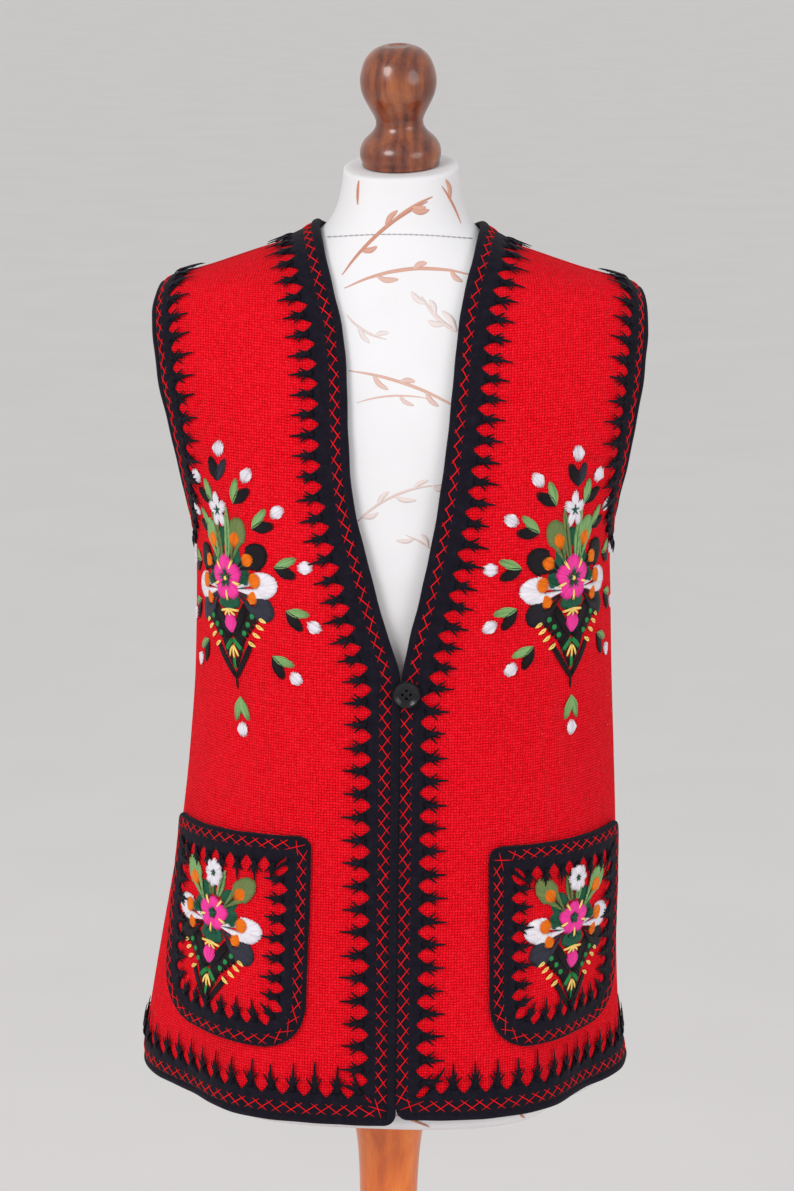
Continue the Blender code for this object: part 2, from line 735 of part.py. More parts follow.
def dress_form(look):
    """Smooth limbless torso with its neck, inside the cloth."""
    heights = np.r_[np.linspace(FORM_BOTTOM_H, 0.56, 13), 0.585, 0.600, 0.611, 0.621, 0.630,
                    0.640, 0.650, 0.660, 0.674, FORM_TOP_H]
    angle = np.linspace(-math.pi, math.pi, FORM_SIDES, endpoint=False) + math.pi / FORM_SIDES
    points, faces = [], []
    for h in heights:
        space = float(curve(h, SPACE[:, 0], SPACE[:, 1]))
        ring = lifted(angle, np.full(len(angle), h), -space - CLOTH)
        for side, column in ((-1, 1), (1, 2)):
            limit = float(curve(h, ARM_EDGE[:, 0], ARM_EDGE[:, column])) - 0.014
            if ARM_EDGE[0, 0] <= h <= TIP_H:
                ring[:, 0] = side * np.minimum(side * ring[:, 0], limit)
        if h == FORM_TOP_H:
            ring[:, 2] += ring[:, 1] * math.tan(FORM_TILT) + ring[:, 0] * math.tan(FINIAL_LEAN)
        points.append(ring)
    points[0] = points[0] * np.array([0.975, 0.975, 1.0])
    points[0][:, 2] = HEM_Z + FORM_BOTTOM_H
    count, sides = len(points), FORM_SIDES
    for i in range(count - 1):
        for k in range(sides):
            m = (k + 1) % sides
            faces.append([i * sides + k, i * sides + m, (i + 1) * sides + m, (i + 1) * sides + k])
    flat = np.concatenate(points)
    inner_low = points[0] * np.array([0.5, 0.5, 1.0])
    inner_low[:, 2] -= 0.002
    inner_top = points[-1].copy()
    rim = points[-1].mean(axis=0)
    inner_top = rim + (inner_top - rim) * 0.86 + np.array([0, 0, 0.0016])
    flat = np.concatenate([flat, inner_low, inner_top])
    low0, top0 = count * sides, (count + 1) * sides
    for k in range(sides):
        m = (k + 1) % sides
        faces.append([m, k, low0 + k, low0 + m])
        faces.append([(count - 1) * sides + k, (count - 1) * sides + m, top0 + m, top0 + k])
    faces.append([low0 + k for k in reversed(range(sides))])
    faces.append([top0 + k for k in range(sides)])
    body("dress_form", flat, faces, look)
    return rim + np.array([0, 0, 0.0016])


def tube(name, line, radius, sides, look):
    """Round cord along a line of points."""
    line = np.array(line, float)
    tangent = np.gradient(line, axis=0)
    tangent /= np.linalg.norm(tangent, axis=1, keepdims=True)
    out = np.array([0.0, -1.0, 0.0])
    points, faces = [], []
    for p, t in zip(line, tangent):
        first = np.cross(t, out)
        first /= np.linalg.norm(first)
        second = np.cross(t, first)
        for k in range(sides):
            turn_by = 2 * math.pi * k / sides
            points.append(p + radius * (first * math.cos(turn_by) + second * math.sin(turn_by)))
    for i in range(len(line) - 1):
        for k in range(sides):
            m = (k + 1) % sides
            faces.append([i * sides + k, i * sides + m, (i + 1) * sides + m, (i + 1) * sides + k])
    faces.append([k for k in reversed(range(sides))])
    faces.append([(len(line) - 1) * sides + k for k in range(sides)])
    return body(name, points, faces, look)


def button_parts():
    """Four-hole button, the thread that holds it, and the cord loop round that thread."""
    angle, height = angle_of(BUTTON_X, BUTTON_H), np.array(BUTTON_H)
    point, _, _, normal = slopes_at(angle, height)
    profile = ((0, 0.0), (0.0070, 0.0), (0.0096, 0.0010), (BUTTON_R, 0.0022), (0.0094, 0.0032),
               (0.0084, 0.0034), (0.0074, 0.0028), (0.0060, 0.0022), (0, 0.0019))
    button = lathe("button", profile, 32, ((0.006, 0.006, 0.008), 0.12),
                   point + normal * BUTTON_LIFT, normal)
    side = np.cross(normal, [0, 0, 1.0])
    side /= np.linalg.norm(side)
    over = np.cross(side, normal)
    for i, (a, b) in enumerate(((1, 0), (0, 1), (-1, 0), (0, -1))):
        centre = point + normal * (BUTTON_LIFT - 0.003) + (side * a + over * b) * HOLE_OFF
        cutter = lathe("cutter_%d" % i, ((0, 0), (HOLE_R, 0), (HOLE_R, 0.009), (0, 0.009)), 12,
                       ((0, 0, 0), 0.5), centre, normal)
        cutter.hide_render = True
        cutter.hide_viewport = True
        hole = button.modifiers.new("hole_%d" % i, "BOOLEAN")
        hole.operation = "DIFFERENCE"
        hole.solver = "EXACT"
        hole.object = cutter
    top = BUTTON_LIFT - 0.0003
    lathe("button_stem", ((0, 0.0030), (STEM_R, 0.0030), (STEM_R, top), (0, top)), 12,
          ((0.01, 0.01, 0.012), 0.8), point, normal)
    level = point + normal * (0.0030 + LOOP_R)
    round_r = STEM_R + LOOP_R + 0.0003
    line = []
    for t in np.linspace(0, 1, 5)[:-1]:
        line.append(level + side * -0.0085 * (1 - t) + over * (0.0070 * (1 - t) + round_r * t))
    for t in np.linspace(math.pi / 2, -math.pi / 2, 9):
        line.append(level + side * math.cos(t) * round_r + over * math.sin(t) * round_r)
    for t in np.linspace(0, 1, 5)[1:]:
        line.append(level + side * -0.0085 * t - over * (0.0030 * t + round_r * (1 - t)))
    tube("button_loop", line, LOOP_R, 8, ((0.01, 0.01, 0.012), 0.7))


RED = ((0.72, 0.012, 0.018), 0.9)
BLACK = ((0.012, 0.011, 0.018), 0.95)
COVER = ((0.84, 0.83, 0.83), 0.75)
WALNUT = ((0.10, 0.028, 0.012), 0.25)
PINE = ((0.62, 0.24, 0.06), 0.25)

FRONT_PATHS = {}
ARM_PATHS = {}
for one_side in (-1, 1):
    a_line, h_line = neck_path(one_side)
    if one_side > 0:
        a_line, h_line = a_line[::-1], h_line[::-1]
    FRONT_PATHS[one_side] = Path((a_line, h_line), forced_ends=(-1,) if one_side < 0 else (0,))
    ARM_PATHS[one_side] = Path(arm_path(one_side), closed=True)
BACK_HEM = Path(back_hem_path())
BACK_NECK = Path(back_neck_path())
POCKETS = {-1: Path(pocket_path(POCKET_LEFT), closed=True),
           1: Path(pocket_path(POCKET_RIGHT), closed=True)}

WORD = {-1: "right", 1: "left"}
half_gap = SEAM_GAP / 2
for one_side in (-1, 1):
    word = WORD[one_side]
    sheet("front_" + word, grid_cells(front_panel(one_side)), -CLOTH, 0.0, RED, -half_gap)
    band("front_band_" + word, FRONT_PATHS[one_side], FRONT_BAND, SKIN_GAP, BLACK, 2, -half_gap)
    binding("front_binding_" + word, FRONT_PATHS[one_side], EDGE_SECTION, BLACK, 0.020, -half_gap)
    band("armhole_band_" + word, ARM_PATHS[one_side], ARMHOLE_BAND, SKIN_GAP, BLACK)
    binding("armhole_binding_" + word, ARM_PATHS[one_side], EDGE_SECTION, BLACK)
    pocket = POCKETS[one_side]
    sheet("pocket_" + word, pocket_cells(pocket), POCKET_LIFT, POCKET_LIFT + POCKET_THICK, RED)
    band("pocket_band_" + word, pocket, POCKET_BAND, POCKET_BAND_LIFT, BLACK)
    binding("pocket_binding_" + word, pocket, POCKET_SECTION, BLACK)
sheet("back", back_panel(), -CLOTH, 0.0, RED, half_gap)
band("hem_band_back", BACK_HEM, FRONT_BAND, SKIN_GAP, BLACK, 2, half_gap)
binding("hem_binding_back", BACK_HEM, EDGE_SECTION, BLACK, 0.026, half_gap)
band("neck_band_back", BACK_NECK, FRONT_BAND, SKIN_GAP, BLACK, 3, half_gap)
binding("neck_binding_back", BACK_NECK, EDGE_SECTION, BLACK, 0.018, half_gap)
button_parts()

cap = dress_form(COVER)
lean = (-math.sin(FINIAL_LEAN), -math.sin(FORM_TILT), math.cos(FORM_TILT))
lathe("finial", ((0, 0.0004), (0.0262, 0.0004), (0.0286, 0.0035), (0.0299, 0.0085), (0.0292, 0.0145),
                 (0.0260, 0.0200), (0.0200, 0.0260), (0.0174, 0.0315), (0.0184, 0.0370),
                 (0.0226, 0.0450), (0.0266, 0.0535), (0.0281, 0.0620), (0.0273, 0.0700),
                 (0.0240, 0.0790), (0.0180, 0.0855), (0.0100, 0.0888), (0.0052, 0.0880), (0, 0.0878)),
      22, WALNUT, cap, lean)
top_z = HEM_Z + FORM_BOTTOM_H - 0.0024
lathe("column", ((0, BASE_THICK + 0.0003), (0.046, BASE_THICK + 0.0003), (0.046, 0.040), (0.034, 0.052),
                 (0.027, 0.070), (0.024, 0.110), (0.0215, 0.300), (0.0215, 0.520), (0.0222, 0.590),
                 (0.0240, 0.630), (0.0275, 0.655), (0.0300, 0.672), (0.0300, top_z), (0, top_z)),
      18, PINE)
lathe("base", ((0, 0), (BASE_R - 0.006, 0), (BASE_R, 0.005), (BASE_R, 0.014), (BASE_R - 0.012, 0.021),
               (0.120, 0.0255), (0.060, BASE_THICK), (0, BASE_THICK)), 36, PINE)
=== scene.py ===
"""Dressed scene of the embroidered vest on its dress stand.

Metres, +Z up, the front faces -Y, and +X is the viewer's right. The cloth's form comes from the
same tables as the solids, so each fine piece lies on the solid that it stands for.
"""

import math

import bpy
import numpy as np
from mathutils import Matrix, Vector


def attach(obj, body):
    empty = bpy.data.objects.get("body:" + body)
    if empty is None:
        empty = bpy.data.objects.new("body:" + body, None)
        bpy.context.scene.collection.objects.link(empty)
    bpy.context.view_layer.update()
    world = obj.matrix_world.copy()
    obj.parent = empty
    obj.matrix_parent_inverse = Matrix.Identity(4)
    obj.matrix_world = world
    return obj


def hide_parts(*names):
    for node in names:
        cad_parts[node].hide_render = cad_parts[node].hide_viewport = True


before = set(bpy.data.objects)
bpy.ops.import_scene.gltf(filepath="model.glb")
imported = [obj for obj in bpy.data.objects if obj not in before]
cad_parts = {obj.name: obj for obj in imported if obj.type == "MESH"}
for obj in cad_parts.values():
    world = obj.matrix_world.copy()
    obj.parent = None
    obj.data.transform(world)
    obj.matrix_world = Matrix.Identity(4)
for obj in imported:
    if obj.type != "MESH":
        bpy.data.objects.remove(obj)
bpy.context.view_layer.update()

MM = 0.001

# Sizes of the vest. A name that ends in H is a height above the hem
HEM_Z = 0.700
NECK_EDGE_H = 0.648
NECK_TOP_H = 0.652
BACK_NECK_H = 0.632
UNDERARM_H = 0.432
TIP_H = 0.600
V_POINT_H = 0.322
HEM_RISE = 0.005
POWER = 2.3  # of the superellipse that each level of the body is
ARMHOLE_FRONT_Y = 0.052
ARMHOLE_BACK_Y = 0.045
ARMHOLE_SKEW = 0.15  # how much deeper an armhole is low down than high up
EDGE_X_LEFT = 0.0045
EDGE_X_RIGHT = 0.0049
CORNER_R = 0.009

# Cloth, bands and seams: thicknesses and gaps, and depths inwards from an outer edge
CLOTH = 0.0022
SEAM_GAP = 0.0003
SKIN_GAP = 0.0010
BAND_THICK = 0.0010
BAND_LOW = 0.0003
BAND_START = 0.0062
CLOTH_START = 0.0070
HALF_GAP = SEAM_GAP / 2
BAND_TOP = SKIN_GAP + BAND_THICK

# Steps of the paths and of a walk over the cloth, length over which a corner is blended, and count of
# places at the end of a path that are turned into the seam's plane
PATH_STEP = 0.001
WALK_STEP = 0.006
CORNER_BLEND = 0.030
TURNED_PLACES = 26

# Pocket
POCKET_THICK = 0.0018
POCKET_LIFT = 0.0013
POCKET_TOP = POCKET_LIFT + POCKET_THICK
POCKET_BAND_LIFT = POCKET_TOP + 0.0006
POCKET_TRIM_START = 0.0032
CORNER_PULL = 0.86  # weight of a pocket's corner in the arc that rounds it

# Stand
FORM_BOTTOM_H = -0.0095
FORM_TOP_H = 0.692
FORM_TILT_H = 0.655  # the neck starts to tilt here
FORM_TILT = math.radians(8.0)
FINIAL_LEAN = math.radians(2.4)
BASE_R = 0.205
BASE_THICK = 0.028

# Body: height above the hem, half width left, half width right, depth front, depth back
BODY = np.array([
    (-0.060, 0.1890, 0.1850, 0.1440, 0.1300),
    (0.000, 0.1890, 0.1825, 0.1435, 0.1280),
    (0.020, 0.1893, 0.1795, 0.1430, 0.1260),
    (0.060, 0.1840, 0.1755, 0.1415, 0.1220),
    (0.100, 0.1773, 0.1733, 0.1400, 0.1180),
    (0.140, 0.1702, 0.1722, 0.1390, 0.1140),
    (0.200, 0.1600, 0.1694, 0.1385, 0.1090),
    (0.260, 0.1540, 0.1665, 0.1390, 0.1060),
    (0.320, 0.1503, 0.1635, 0.1400, 0.1045),
    (0.375, 0.1495, 0.1615, 0.1405, 0.1040),
    (0.410, 0.1495, 0.1603, 0.1385, 0.1045),
    (0.430, 0.1515, 0.1607, 0.1355, 0.1050),
    (0.450, 0.1580, 0.1662, 0.1315, 0.1050),
    (0.480, 0.1700, 0.1778, 0.1260, 0.1045),
    (0.512, 0.1820, 0.1880, 0.1165, 0.1030),
    (0.545, 0.1907, 0.1940, 0.1030, 0.0990),
    (0.565, 0.1910, 0.1932, 0.0930, 0.0945),
    (0.584, 0.1868, 0.1885, 0.0840, 0.0885),
    (0.600, 0.1770, 0.1800, 0.0750, 0.0810),
    (0.609, 0.1660, 0.1690, 0.0695, 0.0760),
    (0.6185, 0.1380, 0.1370, 0.0640, 0.0690),
    (0.628, 0.1110, 0.1080, 0.0590, 0.0620),
    (0.637, 0.0845, 0.0820, 0.0555, 0.0560),
    (0.648, 0.0640, 0.0640, 0.0520, 0.0510),
    (0.656, 0.0560, 0.0570, 0.0502, 0.0495),
    (0.666, 0.0512, 0.0520, 0.0487, 0.0482),
    (0.681, 0.0482, 0.0486, 0.0475, 0.0472),
    (0.700, 0.0466, 0.0470, 0.0468, 0.0465),
    (0.730, 0.0460, 0.0460, 0.0462, 0.0460),
])

# Neck edge: height above the hem, distance of the edge from the middle on the left and on the right
NECK_EDGE = np.array([
    (V_POINT_H, -EDGE_X_LEFT, EDGE_X_RIGHT),
    (0.338, -0.0037, 0.0054),
    (0.353, 0.0000, 0.0077),
    (0.368, 0.0051, 0.0106),
    (0.396, 0.0133, 0.0175),
    (0.426, 0.0215, 0.0235),
    (0.4525, 0.0285, 0.0285),
    (0.480, 0.0333, 0.0325),
    (0.512, 0.0355, 0.0362),
    (0.549, 0.0370, 0.0398),
    (0.584, 0.0410, 0.0430),
    (0.607, 0.0470, 0.0470),
    (0.628, 0.0530, 0.0525),
    (0.640, 0.0562, 0.0558),
    (NECK_EDGE_H, 0.0585, 0.0583),
])

# Armhole edge: height above the hem, distance from the middle on the left and on the right
ARM_EDGE = np.array([
    (0.410, 0.1495, 0.1603),
    (0.430, 0.1514, 0.1602),
    (0.450, 0.1552, 0.1620),
    (0.470, 0.1583, 0.1650),
    (0.490, 0.1608, 0.1671),
    (0.510, 0.1642, 0.1698),
    (0.527, 0.1685, 0.1727),
    (0.545, 0.1727, 0.1760),
    (0.562, 0.1760, 0.1788),
    (0.582, 0.1790, 0.1818),
    (0.600, 0.1770, 0.1800),
])

# Space between the stand and the cloth: height above the hem, space
SPACE = np.array([
    (-0.060, 0.0150),
    (0.000, 0.0150),
    (0.060, 0.0150),
    (0.120, 0.0145),
    (0.200, 0.0125),
    (0.300, 0.0100),
    (0.400, 0.0080),
    (0.460, 0.0060),
    (0.520, 0.0042),
    (0.570, 0.0030),
    (0.610, 0.0026),
    (0.660, 0.0028),
    (0.730, 0.0028),
])

# Pocket outline: corners as (distance round the body from the middle front, height), corner radius
POCKET_LEFT = ((-0.0590, 0.2175, 0.010), (-0.0635, 0.0550, 0.036),
               (-0.2060, 0.0570, 0.041), (-0.2070, 0.2090, 0.010))
POCKET_RIGHT = ((0.0705, 0.2105, 0.010), (0.0735, 0.0570, 0.036),
                (0.2130, 0.0560, 0.038), (0.2120, 0.2085, 0.010))

# Folds of the cloth under a height: waves round the body as (count, start, lift)
FOLD_TOP_H = 0.36
FOLD_WAVES = ((3.0, 0.7, 0.0022), (5.0, -1.1, 0.0014))
# Hollows beside the front, and soft rises at the bust: top or middle height, angle, sizes
HOLLOW_TOP_H, HOLLOW_AT, HOLLOW_WIDE, HOLLOW_DEEP = 0.21, 1.13, 0.27, 0.018
BUST_H, BUST_AT, BUST_WIDE, BUST_HIGH, BUST_LIFT = 0.43, 0.85, 0.25, 0.05, 0.0030


def slopes(xs, ys):
    """Slopes of a smooth curve that never overshoots its table."""
    step = np.diff(xs)
    rise = np.diff(ys) / step
    out = np.zeros_like(ys)
    out[0], out[-1] = rise[0], rise[-1]
    first, second = rise[:-1], rise[1:]
    same = first * second > 0
    one = 2 * step[1:] + step[:-1]
    two = step[1:] + 2 * step[:-1]
    safe_first = np.where(same, first, 1.0)
    safe_second = np.where(same, second, 1.0)
    out[1:-1] = np.where(same, (one + two) / (one / safe_first + two / safe_second), 0.0)
    return out


def curve(x, xs, ys):
    """Smooth curve through a table, read at x."""
    x = np.clip(np.asarray(x, float), xs[0], xs[-1])
    tangents = slopes(xs, ys)
    i = np.clip(np.searchsorted(xs, x, side="right") - 1, 0, len(xs) - 2)
    step = xs[i + 1] - xs[i]
    t = (x - xs[i]) / step
    start = (1 + 2 * t) * (1 - t) ** 2 * ys[i] + t * (1 - t) ** 2 * step * tangents[i]
    end = t * t * (3 - 2 * t) * ys[i + 1] + t * t * (t - 1) * step * tangents[i + 1]
    return start + end


def read(table, height, column=1):
    """Smooth value of one column of a table at a height."""
    return curve(height, table[:, 0], table[:, column])


def unit(vectors):
    """The vectors brought to length 1."""
    return vectors / np.linalg.norm(vectors, axis=-1, keepdims=True)


def run_length(points):
    """Length along a line of points, from the first one to each."""
    return np.r_[0, np.cumsum(np.linalg.norm(np.diff(points, axis=0), axis=1))]


def spline(a, b, c, d, t):
    """Point of a smooth line between b and c, with a before them and d after."""
    return 0.5 * (2 * b + (c - a) * t + (2 * a - 5 * b + 4 * c - d) * t * t
                  + (3 * b - a - 3 * c + d) * t ** 3)


def eased(value, low, high):
    """0 below low, 1 above high, smooth between."""
    t = np.clip((value - low) / (high - low), 0, 1)
    return t * t * (3 - 2 * t)


def relief(angle, height):
    """Soft folds of the cloth: a lift outwards, in metres."""
    angle = (angle + math.pi) % (2 * math.pi) - math.pi
    low = np.clip((FOLD_TOP_H - height) / FOLD_TOP_H, 0, 1) ** 1.5
    flare = np.clip((HOLLOW_TOP_H - height) / HOLLOW_TOP_H, 0, 1) ** 1.2
    hollow = -HOLLOW_DEEP * flare * np.exp(-((np.abs(angle) - HOLLOW_AT) / HOLLOW_WIDE) ** 2)
    waves = sum(np.sin(count * angle + start) * lift for count, start, lift in FOLD_WAVES)
    level = ((height - BUST_H) / BUST_HIGH) ** 2
    bust = sum(BUST_LIFT * np.exp(-((angle - at) / BUST_WIDE) ** 2 - level)
               for at in (BUST_AT, -BUST_AT))
    return low * waves * np.cos(angle) ** 2 + bust + hollow


def hem_rise(angle):
    """Height of the hem over its lowest place: the wearer's left front hangs a little higher."""
    angle = (np.asarray(angle, float) + math.pi) % (2 * math.pi) - math.pi
    back = np.where(angle > math.pi / 2, np.cos(angle - math.pi / 2) ** 2, 1.0)
    return np.where(angle < -0.2, 0.0, HEM_RISE * back)


def surface(angle, height):
    """Point of the cloth's outside. The angle is 0 at the middle front and grows to the right."""
    angle, height = np.broadcast_arrays(np.asarray(angle, float), np.asarray(height, float))
    sine, cosine = np.sin(angle), np.cos(angle)
    left, right, front, back = (read(BODY, height, column) for column in (1, 2, 3, 4))
    wide = np.where(sine < 0, left, right)
    deep = np.where(cosine > 0, front, back)
    total = (np.abs(sine) / wide) ** POWER + (np.abs(cosine) / deep) ** POWER
    radius = total ** (-1 / POWER) + relief(angle, height)
    return np.stack([radius * sine, -radius * cosine, HEM_Z + height], axis=-1)


def slopes_at(angle, height):
    """Point, its two tangents and its normal."""
    small = 1e-4
    along = (surface(angle + small, height) - surface(angle - small, height)) / (2 * small)
    up = (surface(angle, height + small) - surface(angle, height - small)) / (2 * small)
    normal = np.cross(along, up)
    on_seam = np.abs(np.cos(angle)) < 1e-6
    normal[..., 1] = np.where(on_seam, 0.0, normal[..., 1])
    return surface(angle, height), along, up, unit(normal)


def walk(angle, height, way, length):
    """Moves over the cloth from a place, in a direction, by a length in metres."""
    angle, height = np.array(angle, float), np.array(height, float)
    way = np.array(way, float)
    length = np.broadcast_to(np.asarray(length, float), angle.shape)
    steps = max(1, int(math.ceil(np.abs(length).max() / WALK_STEP)))
    for _ in range(steps):
        _, along, up, normal = slopes_at(angle, height)
        way = unit(way - normal * (way * normal).sum(-1, keepdims=True))
        aa, uu, au = (along * along).sum(-1), (up * up).sum(-1), (along * up).sum(-1)
        wa, wu = (way * along).sum(-1), (way * up).sum(-1)
        base = aa * uu - au * au
        angle = angle + (uu * wa - au * wu) / base * length / steps
        height = height + (aa * wu - au * wa) / base * length / steps
    return angle, height


def angle_of(x, height):
    """Angle on the front at which the cloth is x to the right of the middle."""
    x, height = np.broadcast_arrays(np.asarray(x, float), np.asarray(height, float))
    low, high = np.full(x.shape, -math.pi / 2), np.full(x.shape, math.pi / 2)
    for _ in range(50):
        middle = (low + high) / 2
        less = surface(middle, height)[..., 0] < x
        low = np.where(less, middle, low)
        high = np.where(less, high, middle)
    return (low + high) / 2


def angle_round(distance, height):
    """Angle at a distance round the body from the middle front, at one height."""
    fine = np.linspace(-math.pi, math.pi, 1441)
    out = []
    for one, at in zip(distance, height):
        length = run_length(surface(fine, at))
        out.append(np.interp(one, length - np.interp(0.0, fine, length), fine))
    return np.array(out)


def resample(angle, height, closed=False):
    """The same path with evenly spaced places."""
    if closed:
        angle, height = np.r_[angle, angle[0]], np.r_[height, height[0]]
    length = run_length(surface(angle, height))
    count = max(2, int(round(length[-1] / PATH_STEP)) + 1)
    at = np.linspace(0, length[-1], count)
    if closed:
        at = at[:-1]
    return np.interp(at, length, angle), np.interp(at, length, height)


def inward(angle, height, closed, forced_ends):
    """Directions over the cloth to the left of the path: at each place, and smoothed for corners."""
    point, _, _, normal = slopes_at(angle, height)
    if closed:
        tangent = np.roll(point, -1, axis=0) - np.roll(point, 1, axis=0)
    else:
        tangent = np.gradient(point, axis=0)
    local = unit(np.cross(normal, unit(tangent)))
    for end in forced_ends:
        turn(local, normal, end)
    reach = int(CORNER_BLEND / PATH_STEP)
    if closed:
        padded = np.concatenate([local[-reach:], local, local[:reach]])
    else:
        padded = np.concatenate([local[:1].repeat(reach, 0), local, local[-1:].repeat(reach, 0)])
    sums = np.cumsum(np.concatenate([np.zeros((1, 3)), padded]), axis=0)
    smooth = sums[2 * reach + 1:] - sums[:-2 * reach - 1]
    smooth = unit(smooth - normal * (smooth * normal).sum(1, keepdims=True))
    if not closed:
        for end in (0, -1):
            smooth[end] = local[end]
    return local, smooth


def turn(local, normal, end):
    """Turns the directions near one end so that the last one lies in the seam's plane."""
    for k in range(TURNED_PLACES):
        i = k if end == 0 else len(local) - 1 - k
        part = (1 - k / TURNED_PLACES) ** 2
        flat = local[i] * np.array([1.0, 1.0 - part, 1.0])
        flat -= normal[i] * (flat @ normal[i])
        local[i] = flat / np.linalg.norm(flat)


def neck_path(side):
    """Outer edge of one front: from the hem's side seam round the corner and up to the shoulder."""
    column = 1 if side < 0 else 2
    edge_x = EDGE_X_LEFT if side < 0 else EDGE_X_RIGHT
    low = 0.0 if side < 0 else HEM_RISE
    hem_angle = np.linspace(side * math.pi / 2, angle_of(edge_x + side * CORNER_R, low), 120)
    turn_by = np.linspace(0, math.pi / 2, 12)[1:]
    corner_x = edge_x + side * CORNER_R * (1 - np.sin(turn_by))
    corner_h = low + CORNER_R * (1 - np.cos(turn_by))
    up_h = np.linspace(low + CORNER_R, V_POINT_H, 60)[1:]
    v_h = np.linspace(V_POINT_H, NECK_EDGE_H, 150)[1:]
    v_x = side * read(NECK_EDGE, v_h, column)
    x = np.r_[corner_x, np.full(len(up_h), edge_x), v_x]
    h = np.r_[corner_h, up_h, v_h]
    angle = np.r_[hem_angle, angle_of(x, h)]
    height = np.r_[np.full(len(hem_angle), low), h]
    last = angle[-1]
    t = np.linspace(0, 1, 14)[1:]
    angle = np.r_[angle, last + (side * math.pi / 2 - last) * t]
    height = np.r_[height, NECK_EDGE_H + (NECK_TOP_H - NECK_EDGE_H) * np.sin(t * math.pi / 2)]
    return resample(angle, height)


def arm_angle(side, height, back):
    """Angle of the armhole's edge at a height, on the front or on the back half."""
    c = np.clip((height - (TIP_H + UNDERARM_H) / 2) / ((TIP_H - UNDERARM_H) / 2), -1, 1)
    deep = np.sqrt(1 - c * c) * (1 - ARMHOLE_SKEW * c)
    x = read(ARM_EDGE, height, 1 if side < 0 else 2)
    part = np.arctan2((ARMHOLE_BACK_Y if back else ARMHOLE_FRONT_Y) * deep, x)
    return side * (math.pi / 2 + (part if back else -part))


def arm_half(side, back):
    """One half of an armhole, from the underarm up to the shoulder tip."""
    t = np.linspace(0, math.pi, 160)
    height = (TIP_H + UNDERARM_H) / 2 - (TIP_H - UNDERARM_H) / 2 * np.cos(t)
    return arm_angle(side, height, back), height


def arm_path(side):
    """The whole armhole as a loop with the cloth on its left."""
    front_a, front_h = arm_half(side, False)
    back_a, back_h = arm_half(side, True)
    angle = np.r_[front_a, back_a[::-1][1:-1]]
    height = np.r_[front_h, back_h[::-1][1:-1]]
    if side < 0:
        angle, height = angle[::-1], height[::-1]
    return resample(angle, height, closed=True)


def back_hem_path():
    """Lower edge of the back, from one side seam to the other."""
    angle = np.linspace(math.pi / 2, 1.5 * math.pi, 200)
    return resample(angle, hem_rise(angle))


def back_neck_path():
    """Neck edge of the back, from one shoulder to the other."""
    angle = np.linspace(-math.pi / 2, -1.5 * math.pi, 200)
    height = BACK_NECK_H + (NECK_TOP_H - BACK_NECK_H) * np.sin(angle) ** 2
    return resample(angle, height)


def pocket_path(corners):
    """Rounded four-sided outline, with the pocket on its left."""
    points = np.array([c[:2] for c in corners])
    radii = [c[2] for c in corners]
    area = sum(points[i - 1, 0] * points[i, 1] - points[i, 0] * points[i - 1, 1] for i in range(4))
    if area < 0:
        points, radii = points[::-1], radii[::-1]
    out = []
    for i in range(4):
        here, before, after = points[i], points[i - 1], points[(i + 1) % 4]
        first = (before - here) / np.linalg.norm(before - here)
        second = (after - here) / np.linalg.norm(after - here)
        half = math.acos(float(first @ second)) / 2
        reach = radii[i] / math.tan(half)
        start, end = here + first * reach, here + second * reach
        for t in np.linspace(0, 1, 13):
            near = start * (1 - t) ** 2 + 2 * here * t * (1 - t) * CORNER_PULL + end * t * t
            weight = (1 - t) ** 2 + 2 * t * (1 - t) * CORNER_PULL + t * t
            out.append(near / weight)
    out = np.array(out)
    return resample(angle_round(out[:, 0], out[:, 1]), out[:, 1], closed=True)


class Path:
    """An outer edge with its directions inwards."""

    def __init__(self, places, closed=False, forced_ends=()):
        self.angle, self.height = places
        self.shift = np.zeros(len(self.angle))
        self.closed = closed
        self.local, self.smooth = inward(self.angle, self.height, closed, forced_ends)
        self.stretch = 1 / np.clip((self.local * self.smooth).sum(1), 0.66, 1)

    def at(self, pick, depth):
        """Places at a depth inside the edge, for some indices of the path."""
        return walk(self.angle[pick], self.height[pick], self.local[pick], depth)


def lifted(angle, height, lift, y_shift=0.0):
    """Points over the cloth by a lift, moved along y by a shift."""
    point, _, _, normal = slopes_at(angle, height)
    point = point + normal * np.asarray(lift)[..., None]
    point[..., 1] += y_shift
    return point


def spread(angle, height, count):
    """Places along a line at even distances."""
    length = run_length(surface(angle, height))
    at = np.linspace(0.0, 1.0, count) * length[-1]
    return np.interp(at, length, angle), np.interp(at, length, height)


def between(first, last, count):
    """Places in even steps from the first to the last."""
    t = np.linspace(0, 1, count)
    return [(first[0] + (last[0] - first[0]) * k, first[1] + (last[1] - first[1]) * k) for k in t]


